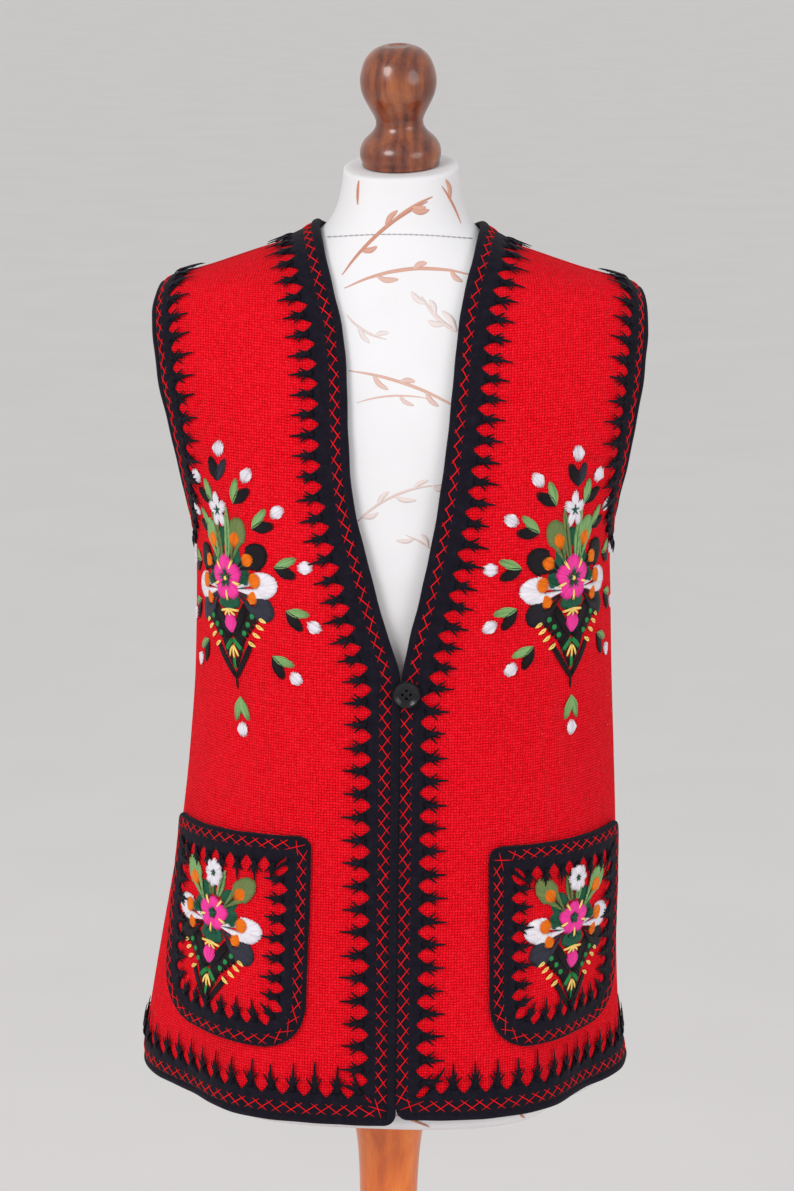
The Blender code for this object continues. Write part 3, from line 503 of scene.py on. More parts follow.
def arm_inner(side, back, count):
    """The cloth's own edge at an armhole half, from the underarm up to the tip."""
    angle, height = ARM_PATHS[side].at(slice(None), CLOTH_START)
    part = np.abs(angle) > math.pi / 2 if back else np.abs(angle) < math.pi / 2
    angle, height = angle[part], height[part]
    order = np.argsort(height)
    angle, height = angle[order], height[order]
    ends = []
    for at_h, sign in ((UNDERARM_H, -1.0), (TIP_H, 1.0)):
        start_a = np.array([side * math.pi / 2])
        _, _, up, _ = slopes_at(start_a, np.array([at_h]))
        way = up / np.linalg.norm(up) * sign
        ends.append(walk(start_a, np.array([at_h]), way, CLOTH_START))
    angle = np.r_[side * math.pi / 2, angle, side * math.pi / 2]
    height = np.r_[ends[0][1], height, ends[1][1]]
    t = np.linspace(0, math.pi, count)
    t = t - ROUND_ENDS * np.sin(2 * t)
    low, high = height[0], height[-1]
    at = (low + high) / 2 - (high - low) / 2 * np.cos(t)
    return np.interp(at, height, angle), at


# Rows of the panels: heights below the underarm by fraction, and counts above it
LOWER_PARTS = (0.0, 0.005, 0.15, 0.30, 0.45, 0.60, 0.71, 0.785, 0.83, 0.88, 0.94, 1.0)
UPPER_ROWS = 14
NECK_ROWS = 7
ROUND_ENDS = 0.1  # how much closer the rows of an armhole are at its ends
CORNER_CUT = 0.014  # angle by which the lowest row stays inside the front's corner
BACK_PARTS = (0.0, 0.14, 0.28, 0.42, 0.56, 0.70, 0.85, 1.0)
FRONT_COLUMNS = 10
BACK_COLUMNS = 8


def front_panel(side):
    """Rows of places over one front."""
    path = FRONT_PATHS[side]
    angle, height = path.at(slice(None), CLOTH_START)
    low = CLOTH_START if side < 0 else CLOTH_START + HEM_RISE
    keep = (path.height > low - CLOTH_START + CORNER_R * 1.02) & (height > low)
    angle, height = angle[keep], height[keep]
    order = np.argsort(height)
    angle, height = angle[order], height[order]
    angle[-1] = side * math.pi / 2
    arm_a, arm_h = arm_inner(side, False, UPPER_ROWS + 1)
    low_h = low + (arm_h[0] - low) * np.array(LOWER_PARTS)
    rows = []
    for h in low_h:
        cut = CORNER_CUT if h == low_h[0] else 0.0
        inner = (float(np.interp(h, height, angle)) + side * cut, float(h))
        rows.append(between(inner, (side * math.pi / 2, float(h)), FRONT_COLUMNS))
    upper = height > arm_h[0]
    up_a = np.r_[np.interp(arm_h[0], height, angle), angle[upper]]
    up_h = np.r_[arm_h[0], height[upper]]
    in_a, in_h = spread(up_a, up_h, UPPER_ROWS + 1)
    for k in range(1, UPPER_ROWS + 1):
        rows.append(between((in_a[k], in_h[k]), (arm_a[k], arm_h[k]), FRONT_COLUMNS))
    if side < 0:
        rows = [row[::-1] for row in rows]
    return rows


def back_halves():
    """Rows of places over the two halves of the back, which share the middle line."""
    angle, height = BACK_NECK.at(slice(None), CLOTH_START)
    both = []
    for side in (1, -1):
        half = angle >= -math.pi if side < 0 else angle <= -math.pi
        half_a, half_h = angle[half], height[half]
        if side > 0:
            half_a, half_h = half_a[::-1] + 2 * math.pi, half_h[::-1]
        half_a, half_h = half_a.copy(), half_h.copy()
        half_a[0] = side * math.pi / 2
        arm_a, arm_h = arm_inner(side, True, UPPER_ROWS + 1)
        middle_h = BACK_NECK_H - CLOTH_START
        line_h = np.linspace(UNDERARM_H - CLOTH_START, middle_h, UPPER_ROWS - NECK_ROWS + 1)
        neck_a, neck_h = spread(half_a[::-1], half_h[::-1], NECK_ROWS + 1)
        inner = [(side * math.pi, float(h)) for h in line_h]
        inner += [(neck_a[k], neck_h[k]) for k in range(1, NECK_ROWS + 1)]
        rows = []
        for part in BACK_PARTS:
            seam_h = CLOTH_START + (arm_h[0] - CLOTH_START) * part
            inner_h = CLOTH_START + (UNDERARM_H - 2 * CLOTH_START) * part
            row = between((side * math.pi / 2, seam_h), (side * math.pi, inner_h), BACK_COLUMNS)
            rows.append([(a, h + float(hem_rise(a)) * (1 - part)) for a, h in row])
        for k in range(1, UPPER_ROWS + 1):
            rows.append(between((arm_a[k], arm_h[k]), inner[k], BACK_COLUMNS))
        if side < 0:
            rows = [[(a + 2 * math.pi, h) for a, h in row][::-1] for row in rows]
        both.append(rows)
    return both


# Sections of the bindings: depth from the outer edge, lift over the cloth
EDGE_SECTION = ((0.0064, -0.0026), (0.0064, 0.0016), (0.0036, 0.0026),
                (0.0006, 0.0014), (0.0, -0.0014), (0.0030, -0.0032))
POCKET_SECTION = ((0.0036, 0.0013), (0.0036, 0.0041), (0.0020, 0.0050), (0.0004, 0.0039), (0.0, 0.0013))


# Bindings: longest step and bend between two rings, parts of a section's side, slow waves of the size
# as (share, speed, start), and how flat and deep a binding lies under the other front
ROLL_STEP, ROLL_BEND, SECTION_PARTS = 0.004, 0.16, 4
ROLL_WAVES = ((0.035, 0.19, 0.0), (0.03, 0.083, 1.0))
SUNK_FLAT, SUNK_DEEP = 0.45, 0.0017
# How far the last two columns of a band fall at its toothed edge
BAND_FALL = (0.0001, 0.0006)
# Turned bodies: parts between two places of a profile, steps too short for them, least radius
TURN_PARTS, SHORT_STEP, LEAST_R = 5, 0.0012, 0.0008


def binding_stations(path):
    """Indices along the path, closer together where it turns."""
    way = path.local
    chosen = [0]
    for i in range(1, len(way)):
        bent = math.acos(float(np.clip(way[i] @ way[chosen[-1]], -1, 1)))
        if i - chosen[-1] >= ROLL_STEP / PATH_STEP or bent > ROLL_BEND:
            chosen.append(i)
    if not path.closed and chosen[-1] != len(way) - 1:
        if len(way) - 1 - chosen[-1] < 4:
            chosen.pop()
        chosen.append(len(way) - 1)
    return np.array(chosen)


def edge_run(path, run):
    """Angle, height, direction inwards, stretch and shift at fractional places along an edge."""
    run = np.asarray(run, float)
    count = len(path.angle)
    at = np.arange(count)
    if path.closed:
        run = run % count
        at = np.arange(count + 1)
        pad = np.r_[np.arange(count), 0]
    else:
        run = np.clip(run, 0, count - 1)
        pad = at
    angle = np.interp(run, at, path.angle[pad])
    height = np.interp(run, at, path.height[pad])
    way = np.stack([np.interp(run, at, path.smooth[pad, k]) for k in range(3)], axis=-1)
    stretch = np.interp(run, at, path.stretch[pad])
    shift = np.interp(run, at, path.shift[pad])
    return angle, height, way, stretch, shift


def on_edge(path, run, depth):
    """Places at fractional positions along an edge and at depths inside it."""
    shape = np.shape(run)
    run, depth = np.ravel(run), np.ravel(depth)
    angle, height, way, stretch, shift = edge_run(path, run)
    angle, height = walk(angle, height, way, (depth + shift) * stretch)
    return angle.reshape(shape), height.reshape(shape)


def on_cloth(centre, lean, x, y):
    """Places at offsets (x to the right, y up) from a centre, over the cloth."""
    shape = np.shape(x)
    x, y = np.ravel(x).astype(float), np.ravel(y).astype(float)
    start = float(angle_round([centre[0]], [centre[1]])[0])
    angle, height = np.full(x.shape, start), np.full(x.shape, centre[1])
    _, along, _, normal = slopes_at(angle, height)
    right = unit(along)
    over = np.cross(normal, right)
    turned_x = x * math.cos(lean) + y * math.sin(lean)
    turned_y = -x * math.sin(lean) + y * math.cos(lean)
    length = np.hypot(turned_x, turned_y)
    safe = np.where(length > 1e-9, length, 1.0)
    way = right * (turned_x / safe)[:, None] + over * (turned_y / safe)[:, None]
    way[length <= 1e-9] = right[0]
    angle, height = walk(angle, height, way, length)
    return angle.reshape(shape), height.reshape(shape)


# Lengths over the cloth from the middle front and from the hem, for the weave
LENGTH_H = np.linspace(-0.01, 0.665, 136)
LENGTH_A = np.linspace(-1.5 * math.pi, 1.5 * math.pi, 1081)
length_points = surface(LENGTH_A[None, :], LENGTH_H[:, None])
round_steps = np.linalg.norm(np.diff(length_points, axis=1), axis=2)
up_steps = np.linalg.norm(np.diff(length_points, axis=0), axis=2)
ROUND_TABLE = np.concatenate([np.zeros((len(LENGTH_H), 1)), np.cumsum(round_steps, axis=1)], axis=1)
ROUND_TABLE -= ROUND_TABLE[:, len(LENGTH_A) // 2][:, None]
UP_TABLE = np.concatenate([np.zeros((1, len(LENGTH_A))), np.cumsum(up_steps, axis=0)], axis=0)


def weave_place(angle, height):
    """Length round the body and length up from the hem, for texture places."""
    row = np.clip((height - LENGTH_H[0]) / (LENGTH_H[1] - LENGTH_H[0]), 0, len(LENGTH_H) - 1.001)
    col = np.clip((angle - LENGTH_A[0]) / (LENGTH_A[1] - LENGTH_A[0]), 0, len(LENGTH_A) - 1.001)
    i, j = row.astype(int), col.astype(int)
    s, t = row - i, col - j
    out = []
    for table in (ROUND_TABLE, UP_TABLE):
        out.append(table[i, j] * (1 - s) * (1 - t) + table[i + 1, j] * s * (1 - t)
                   + table[i, j + 1] * (1 - s) * t + table[i + 1, j + 1] * s * t)
    return np.stack(out, axis=-1)


def make(name, points, faces, look, uv=None, shade=None):
    """Mesh piece from arrays. The uv places and the shade are given for each point."""
    mesh = bpy.data.meshes.new(name)
    faces = [list(map(int, f)) for f in faces]
    mesh.from_pydata(np.asarray(points, float).tolist(), [], faces)
    corner = np.empty(len(mesh.loops), np.int32)
    mesh.loops.foreach_get("vertex_index", corner)
    if uv is not None:
        layer = mesh.uv_layers.new(name="weave")
        layer.data.foreach_set("uv", np.asarray(uv, np.float32)[corner].ravel())
    if shade is not None:
        tone = mesh.attributes.new("shade", "FLOAT", "POINT")
        tone.data.foreach_set("value", np.asarray(shade, np.float32))
    mesh.polygons.foreach_set("use_smooth", np.full(len(mesh.polygons), True))
    mesh.update()
    obj = bpy.data.objects.new(name, mesh)
    bpy.context.scene.collection.objects.link(obj)
    mesh.materials.append(look)
    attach(obj, "root")
    return obj


def stands_for(obj, slot_name, *nodes):
    """Hides the nodes that the piece replaces. The piece and its slot name are not used."""
    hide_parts(*nodes)


def fine_rows(rows, down, across):
    """Grid of places with each cell split into smaller ones."""
    rows = np.array(rows, float)
    for axis, parts in ((0, down), (1, across)):
        count = rows.shape[axis]
        at = np.linspace(0, count - 1, (count - 1) * parts + 1)
        low = np.clip(np.floor(at).astype(int), 0, count - 2)
        part = (at - low).reshape([-1 if k == axis else 1 for k in range(3)])
        rows = np.take(rows, low, axis=axis) * (1 - part) + np.take(rows, low + 1, axis=axis) * part
    return rows


def closed_wall(cells, count):
    """Faces of a wall: the cells, the same ones below, and the walls round their open edges."""
    ends = np.concatenate([cells[:, [k, (k + 1) % 4]] for k in range(4)])
    ends = ends[ends[:, 0] != ends[:, 1]]
    _, back, times = np.unique(np.sort(ends, axis=1), axis=0, return_inverse=True, return_counts=True)
    rim = ends[times[back.reshape(-1)] == 1]
    walls = np.stack([rim[:, 1], rim[:, 0], rim[:, 0] + count, rim[:, 1] + count], axis=1)
    return np.concatenate([cells, cells[:, ::-1] + count, walls])


def grid_cells(index):
    """Four-sided cells of a grid of point numbers."""
    cells = np.stack([index[:-1, :-1], index[:-1, 1:], index[1:, 1:], index[1:, :-1]], axis=-1)
    return cells.reshape(-1, 4)


def fine_sheet(name, grids, low, high, y_shift=0.0):
    """Closed wall of red wool over grids of places, between two lifts over the cloth."""
    places, faces, start = [], [], 0
    for grid in grids:
        rows, cols = grid.shape[:2]
        faces.append(grid_cells(np.arange(rows * cols).reshape(rows, cols) + start))
        places.append(grid.reshape(-1, 2))
        start += rows * cols
    places, faces = np.concatenate(places), np.concatenate(faces)
    _, first, merged = np.unique(np.round(places, 6), axis=0, return_index=True, return_inverse=True)
    places, faces = places[first], merged.reshape(-1)[faces]
    distinct = np.array([len(set(face)) for face in faces.tolist()])
    faces = faces[distinct > 2]
    angle, height = places[:, 0], places[:, 1]
    points = [lifted(angle, height, lift, y_shift) for lift in (high, low)]
    every = [[v for k, v in enumerate(face) if v != face[k - 1]]
             for face in closed_wall(faces, len(places)).tolist()]
    return make(name, np.concatenate(points), every, RED, np.tile(weave_place(angle, height), (2, 1)))


def strip_sheet(name, path, edge_depth, low, high, columns, y_shift, start):
    """Band of black wool along an edge, with its inner edge at the depth given for each place."""
    count = len(path.angle)
    run = np.arange(count)
    part = np.linspace(0, 1, columns)
    depth = start + (edge_depth[:, None] - start) * part[None, :]
    angle, height = on_edge(path, np.repeat(run[:, None], columns, axis=1), depth)
    flat_a, flat_h = path.at(run, start + path.shift)
    angle[:, 0], height[:, 0] = flat_a, flat_h
    if path.closed:
        angle, height = np.concatenate([angle, angle[:1]]), np.concatenate([height, height[:1]])
    grid = np.stack([angle, height], axis=-1)
    rows, cols = grid.shape[:2]
    flat = grid.reshape(-1, 2)
    lift = np.full((rows, cols), high)
    lift[:, -2:] -= BAND_FALL
    points = [lifted(flat[:, 0], flat[:, 1], level, y_shift) for level in (lift.ravel(), low)]
    index = np.arange(rows * cols).reshape(rows, cols)
    if path.closed:
        index[-1] = index[0]
    faces = closed_wall(grid_cells(index)[:, ::-1], rows * cols)
    uv = np.tile(weave_place(flat[:, 0], flat[:, 1]), (2, 1))
    return make(name, np.concatenate(points), faces, BLACK, uv)


def tube_faces(count, sides, closed=False):
    """Faces of a tube of rings, with caps unless it is closed."""
    i = np.arange(count if closed else count - 1)[:, None]
    j = (i + 1) % count
    k = np.arange(sides)[None, :]
    m = (k + 1) % sides
    faces = np.stack([i * sides + k, i * sides + m, j * sides + m, j * sides + k], axis=-1)
    faces = faces.reshape(-1, 4).tolist()
    if not closed:
        faces += [list(range(sides))[::-1], [(count - 1) * sides + one for one in range(sides)]]
    return faces


def rounded_section(section):
    """Smooth closed line through the corners of a section."""
    points = np.array(section, float)
    count = len(points)
    out = []
    for i in range(count):
        a, b, c, d = (points[k % count] for k in (i - 1, i, i + 1, i + 2))
        out += [spline(a, b, c, d, t) for t in np.arange(SECTION_PARTS) / SECTION_PARTS]
    return np.array(out)


def roll(name, path, section, y_shift, sunk):
    """Rounded binding along an edge, slightly uneven. Where sunk is 1 it lies under the other front."""
    picks = binding_stations(path)
    outline = rounded_section(section)
    wave = sum((size * np.sin(picks * speed + start) for size, speed, start in ROLL_WAVES), 1.0)
    middle = outline.mean(axis=0)
    under = np.zeros(len(picks)) if sunk is None else sunk[picks]
    rings = []
    for depth, lift in outline:
        level = (middle[1] + (lift - middle[1]) * wave) * (1 - SUNK_FLAT * under) - SUNK_DEEP * under
        places = path.at(picks, middle[0] + (depth - middle[0]) * wave)
        rings.append(lifted(*places, level, y_shift))
    rings = np.array(rings)
    sides, count = rings.shape[:2]
    points = rings.transpose(1, 0, 2).reshape(-1, 3)
    faces = tube_faces(count, sides, path.closed)
    uv = np.stack([np.repeat(picks * PATH_STEP, sides), np.tile(np.arange(sides) * MM, count)], axis=-1)
    return make(name, points, faces, BLACK, uv)


def turned(name, profile, sides, look, centre=(0, 0, 0), axis=(0, 0, 1)):
    """Turned body with a smooth profile of (radius, height)."""
    profile = np.array(profile, float)
    fine = []
    for i in range(len(profile) - 1):
        a = profile[max(i - 1, 0)]
        b, c = profile[i], profile[i + 1]
        d = profile[min(i + 2, len(profile) - 1)]
        flat = b[0] == 0 or c[0] == 0 or np.linalg.norm(c - b) < SHORT_STEP
        for t in (np.arange(1) if flat else np.arange(TURN_PARTS) / TURN_PARTS):
            spot = np.clip(spline(a, b, c, d, t), np.minimum(b, c), np.maximum(b, c))
            fine.append((max(float(spot[0]), 0.0 if b[0] == 0 else LEAST_R), float(spot[1])))
    fine.append((float(profile[-1][0]), float(profile[-1][1])))
    axis = np.array(axis, float) / np.linalg.norm(axis)
    helper = np.array([1.0, 0, 0]) if abs(axis[0]) < 0.9 else np.array([0, 1.0, 0])
    first = np.cross(axis, helper)
    first /= np.linalg.norm(first)
    second = np.cross(axis, first)
    points, rings = [], []
    for radius, height in fine:
        if radius == 0:
            rings.append([len(points)])
            points.append(np.array(centre) + axis * height)
            continue
        rings.append(list(range(len(points), len(points) + sides)))
        for k in range(sides):
            turn_by = 2 * math.pi * k / sides
            spoke = first * math.cos(turn_by) + second * math.sin(turn_by)
            points.append(np.array(centre) + axis * height + spoke * radius)
    faces = []
    for low, high in zip(rings, rings[1:]):
        for k in range(sides):
            m = (k + 1) % sides
            if len(low) == 1:
                faces.append([low[0], high[m], high[k]])
            elif len(high) == 1:
                faces.append([low[k], low[m], high[0]])
            else:
                faces.append([low[k], low[m], high[m], high[k]])
    return make(name, np.array(points), faces, look)


class Tree:
    """Short calls for a material's nodes."""

    def __init__(self, name, rough, colour, sheen=0.0, coat=0.0, specular=0.5):
        self.look = bpy.data.materials.new(name)
        self.look.use_nodes = True
        self.nodes = self.look.node_tree.nodes
        self.links = self.look.node_tree.links
        self.shader = self.nodes["Principled BSDF"]
        self.fill(self.shader, {"Base Color": (*colour, 1.0), "Roughness": rough, "Sheen Weight": sheen,
                                "Sheen Roughness": 0.5, "Coat Weight": coat, "Coat Roughness": 0.08,
                                "Specular IOR Level": specular})

    def fill(self, node, values):
        """Sets or links sockets of a node, by name or number."""
        for key, value in values.items():
            if isinstance(value, (int, float, tuple)):
                node.inputs[key].default_value = value
            else:
                self.links.new(value, node.inputs[key])
        return node

    def add(self, kind, values):
        """A new node with its sockets filled."""
        return self.fill(self.nodes.new("ShaderNode" + kind), values)

    def math(self, kind, a, b=0.0, c=0.0):
        node = self.add("Math", dict(enumerate((a, b, c))))
        node.operation = kind
        return node.outputs[0]

    def blend(self, *parts):
        """Sum of values times their shares."""
        total = None
        for value, share in reversed(parts):
            part = self.math("MULTIPLY", value, share)
            total = part if total is None else self.math("ADD", part, total)
        return total

    def noise(self, place, scale, detail, rough=0.55, distort=0.0):
        node = self.add("TexNoise", {"Vector": place, "Scale": scale, "Detail": detail,
                                     "Roughness": rough, "Distortion": distort})
        return node.outputs["Fac"]

    def ramp(self, value, *stops):
        node = self.add("ValToRGB", {0: value})
        line = node.color_ramp
        while len(line.elements) < len(stops):
            line.elements.new(0.5)
        for element, (at, colour) in zip(line.elements, stops):
            element.position = at
            element.color = (*colour, 1.0)
        return node.outputs[0]

    def place(self):
        return self.add("TexCoord", {}).outputs["Object"]

    def mapped(self, place, **how):
        return self.add("Mapping", {"Vector": place, **how}).outputs[0]

    def weave(self):
        node = self.add("UVMap", {})
        node.uv_map = "weave"
        return node.outputs[0]

    def split(self, vector):
        return self.add("SeparateXYZ", {0: vector}).outputs[:2]

    def attribute(self, name):
        node = self.add("Attribute", {})
        node.attribute_name = name
        return node.outputs["Fac"]

    def colour(self, value, *stops):
        """Colours the shader by a value, through a ramp."""
        self.fill(self.shader, {"Base Color": self.ramp(value, *stops)})

    def bump(self, height, distance, strength):
        node = self.add("Bump", {"Height": height, "Distance": distance, "Strength": strength})
        self.fill(self.shader, {"Normal": node.outputs[0]})


def red_wool():
    """Coarse plain weave of thick red wool, a little uneven and hairy, with painted shade and highlight
    in its weave.
    """
    t = Tree("red_wool", 0.92, (0.72, 0.006, 0.009), sheen=0.015, specular=0.04)
    cloth = t.weave()
    u, v = t.split(cloth)
    wander_u = t.math("MULTIPLY_ADD", t.noise(cloth, 260.0, 2.0), 0.0024, -0.0012)
    wander_v = t.math("MULTIPLY_ADD", t.noise(t.mapped(cloth, Rotation=(0, 0, 1.3)), 240.0, 2.0),
                      0.0024, -0.0012)
    warp = t.math("DIVIDE", t.math("ADD", u, wander_u), WEAVE_PITCH)
    weft = t.math("DIVIDE", t.math("ADD", v, wander_v), WEAVE_PITCH)
    across = t.math("ABSOLUTE", t.math("SINE", t.math("MULTIPLY", warp, math.pi)))
    along = t.math("ABSOLUTE", t.math("SINE", t.math("MULTIPLY", weft, math.pi)))
    cell_u, cell_v = t.math("FLOOR", warp), t.math("FLOOR", weft)
    odd = t.math("FLOORED_MODULO", t.math("ADD", cell_u, cell_v), 2.0)
    one = t.math("MULTIPLY", across, t.math("MULTIPLY_ADD", along, 0.5, 0.5))
    two = t.math("MULTIPLY", along, t.math("MULTIPLY_ADD", across, 0.5, 0.5))
    height = t.math("ADD", t.math("MULTIPLY", one, odd),
                    t.math("MULTIPLY", two, t.math("SUBTRACT", 1.0, odd)))
    crossing = t.add("CombineXYZ", {0: cell_u, 1: cell_v}).outputs[0]
    own = t.add("TexWhiteNoise", {"Vector": crossing})
    own.noise_dimensions = "2D"
    fuzz = t.noise(cloth, 3200.0, 3.0, 0.7)
    # The colour follows the weave's height: painted shade in the gaps between the yarns and painted
    # highlight on their crowns, plus a random tone for each crossing, fuzz and wide mottling
    tone = t.blend((height, 0.62), (own.outputs[0], 0.20), (fuzz, 0.24))
    tone = t.math("ADD", tone, t.math("MULTIPLY_ADD", t.noise(cloth, 9.0, 3.0), 0.16, -0.08))
    t.colour(tone, (0.14, (0.26, 0.0003, 0.0016)), (0.36, (0.78, 0.0012, 0.0070)),
             (0.58, (0.97, 0.0030, 0.0150)), (0.92, (0.99, 0.016, 0.034)))
    t.bump(t.math("ADD", height, t.math("MULTIPLY", fuzz, 0.35)), 0.0010, 1.0)
    return t.look


def black_wool():
    """Bluish black wool with a short nap."""
    t = Tree("black_wool", 0.95, (0.009, 0.008, 0.014), sheen=0.04, specular=0.08)
    cloth = t.weave()
    nap = t.noise(cloth, 1500.0, 4.0, 0.72)
    wide = t.noise(cloth, 160.0, 3.0, 0.6)
    tone = t.blend((nap, 0.75), (wide, 0.35))
    t.colour(tone, (0.30, (0.0026, 0.0020, 0.0042)), (0.58, (0.0085, 0.0070, 0.0140)),
             (0.80, (0.0240, 0.0215, 0.0350)))
    t.bump(tone, 0.0006, 0.8)
    return t.look


def thread(name, dark, light, rough=0.55, sheen=0.02, specular=0.16, cord=1.0):
    """Embroidery thread: each strand has its own tone, with a fine twist along it that is also painted
    into the colour as highlight and shade.
    """
    t = Tree(name, rough, light, sheen=sheen, specular=specular)
    u, v = t.split(t.weave())
    twist = t.math("SINE", t.math("MULTIPLY_ADD", u, 5200.0, t.math("MULTIPLY", v, 6.28)))
    own = t.attribute("shade")
    # The twist bands the colour lighter and darker: painted highlight on the plies and painted shade in
    # their grooves. cord scales it
    tone = t.math("MULTIPLY_ADD", twist, 0.10 * cord, t.math("MULTIPLY", own, 0.85))
    t.colour(tone, (0.0, dark), (0.9, light))
    t.bump(twist, 0.00008 * cord, 0.5)
    return t.look


def printed_cover():
    """Smooth pale knitted cover of the form."""
    t = Tree("printed_cover", 0.7, (0.76, 0.76, 0.78), sheen=0.04, specular=0.2)
    place = t.place()
    knit = t.noise(t.mapped(place, Scale=(1.0, 1.0, 0.55)), 1600.0, 2.0)
    tone = t.blend((knit, 0.3), (t.noise(place, 14.0, 2.0), 0.7))
    t.colour(tone, (0.2, (0.70, 0.70, 0.72)), (0.8, (0.79, 0.79, 0.815)))
    t.bump(knit, 0.0001, 0.35)
    return t.look


def wood(name, stops, scale, rough, coat, shares):
    """Varnished turned wood with grain along its axis: shares of rings, pores and clouds."""
    t = Tree(name, rough, stops[1][1], coat=coat, specular=0.5)
    place = t.place()
    off = t.mapped(t.mapped(place, Scale=(1.0, 1.0, 0.12)), Location=(0.035, 0.021, 0.0))
    rings = t.add("TexWave", {"Vector": off, "Scale": scale, "Distortion": 7.0, "Detail": 3.0,
                              "Detail Scale": 1.6})
    rings.wave_type = "RINGS"
    rings.rings_direction = "Z"
    pores = t.noise(t.mapped(place, Scale=(1.0, 1.0, 0.05)), 900.0, 3.0, 0.7)
    cloud = t.noise(t.mapped(place, Scale=(1.0, 1.0, 0.55)), 34.0, 4.0, 0.5, 1.2)
    t.colour(t.blend(*zip((rings.outputs["Fac"], pores, cloud), shares)), *stops)
    t.bump(pores, 0.00008, 0.3)
    return t.look


def plastic():
    """Polished black plastic, with faint handling marks."""
    t = Tree("black_plastic", 0.22, (0.006, 0.006, 0.008), coat=0.15, specular=0.22)
    marks = t.noise(t.place(), 900.0, 4.0, 0.6, 1.5)
    t.fill(t.shader, {"Roughness": t.math("MULTIPLY_ADD", marks, 0.22, 0.12)})
    t.colour(marks, (0.3, (0.004, 0.004, 0.006)), (0.8, (0.010, 0.010, 0.014)))
    return t.look


WEAVE_PITCH = 0.0021  # of the red wool
RED = red_wool()
BLACK = black_wool()
PLASTIC = plastic()
COVER = printed_cover()
WALNUT = wood("dark_wood", ((0.32, (0.045, 0.010, 0.006)), (0.46, (0.150, 0.034, 0.014)),
                            (0.58, (0.235, 0.060, 0.020)), (0.76, (0.360, 0.110, 0.030))),
              34.0, 0.30, 0.35, (0.12, 0.30, 0.62))
PINE = wood("light_wood", ((0.30, (0.52, 0.085, 0.007)), (0.50, (0.72, 0.150, 0.014)),
                           (0.75, (0.88, 0.250, 0.030))), 20.0, 0.30, 0.3, (0.10, 0.30, 0.60))
# cord makes the twist's painted highlight and shade, and its bump, stronger on this black thread
BLACK_THREAD = thread("black_thread", (0.0018, 0.0014, 0.0030), (0.0100, 0.0086, 0.0165), 0.5,
                      specular=0.07, cord=2.2)
RED_THREAD = thread("red_thread", (0.40, 0.001, 0.004), (0.86, 0.006, 0.012), 0.7, specular=0.08)


# Outer edges. Side -1 is the wearer's right, at the viewer's left
FRONT_PATHS, ARM_PATHS = {}, {}
for one_side in (-1, 1):
    a_line, h_line = neck_path(one_side)
    if one_side > 0:
        a_line, h_line = a_line[::-1], h_line[::-1]
    FRONT_PATHS[one_side] = Path((a_line, h_line), forced_ends=(-1,) if one_side < 0 else (0,))
    ARM_PATHS[one_side] = Path(arm_path(one_side), closed=True)
BACK_HEM = Path(back_hem_path())
BACK_NECK = Path(back_neck_path())
POCKETS = {-1: Path(pocket_path(POCKET_LEFT), closed=True),
           1: Path(pocket_path(POCKET_RIGHT), closed=True)}

# One front laps over the other: the lower one's trim starts further out, and its roll is hidden
LAP, NECK_LAP, RAISED = -0.0067, -0.0016, -0.35
lower, upper = FRONT_PATHS[1], FRONT_PATHS[-1]
neck_part = eased(lower.height, V_POINT_H - 0.004, V_POINT_H + 0.022)
closed_part = eased(lower.height, HEM_RISE + 0.0015, HEM_RISE + 0.012) * (1 - neck_part)
lower.shift = LAP * closed_part + NECK_LAP * neck_part
upper_part = eased(upper.height, 0.002, 0.012) * (1 - eased(upper.height, V_POINT_H, V_POINT_H + 0.03))
SUNK = {1: closed_part, -1: RAISED * upper_part}


def tooth_phase(path, sizes, pitches=None):
    """Count of teeth passed at each place of an edge, whole at both ends. Whole numbers are gaps."""
    valley, peak, pitch = sizes
    count = len(path.angle)
    run = np.arange(count)
    angle, height = on_edge(path, run, np.full(count, (valley + peak) / 2))
    inner = surface(angle, height)
    step = np.linalg.norm(np.diff(inner, axis=0), axis=1)
    if path.closed:
        step = np.r_[step, np.linalg.norm(inner[0] - inner[-1])]
    local = np.full(len(step), pitch) if pitches is None else pitches(path)[:len(step)]
    phase = np.r_[0, np.cumsum(step / local)]
    phase *= max(2, round(phase[-1])) / phase[-1]
    return phase[:-1] if path.closed else phase


def tooth_depth(phase, sizes):
    """Depth of the toothed edge: pointed gaps with broad teeth between them."""
    valley, peak, _ = sizes
    off = np.abs(phase - np.round(phase)) / GAP_HALF
    arch = (1 - np.clip(off, 0, 1) ** GAP_POWER) ** (1 / GAP_POWER)
    return peak - (peak - valley) * arch


def front_pitches(path):
    """Pitch of the teeth along a front: one for the hem, one below the V, one up the neck."""
    up = np.clip((path.height - V_POINT_H) / 0.04, 0, 1)
    return np.where(path.height < 0.02, HEM_PITCH, FRONT_PITCH + (NECK_PITCH - FRONT_PITCH) * up)


FRONT_PITCH, NECK_PITCH, HEM_PITCH = 0.0174, 0.0150, 0.0165
# Form of the gap between two teeth: half its width by share of the pitch, and its roundness
GAP_HALF, GAP_POWER = 0.40, 1.28
# Valley and peak of the teeth from the edge, and their pitch
FRONT_TEETH = (0.0205, 0.0302, 0.0165)
ARMHOLE_TEETH = (0.0172, 0.0240, 0.0150)
POCKET_TEETH = (0.0162, 0.0250, 0.0149)
WORD = {-1: "right", 1: "left"}


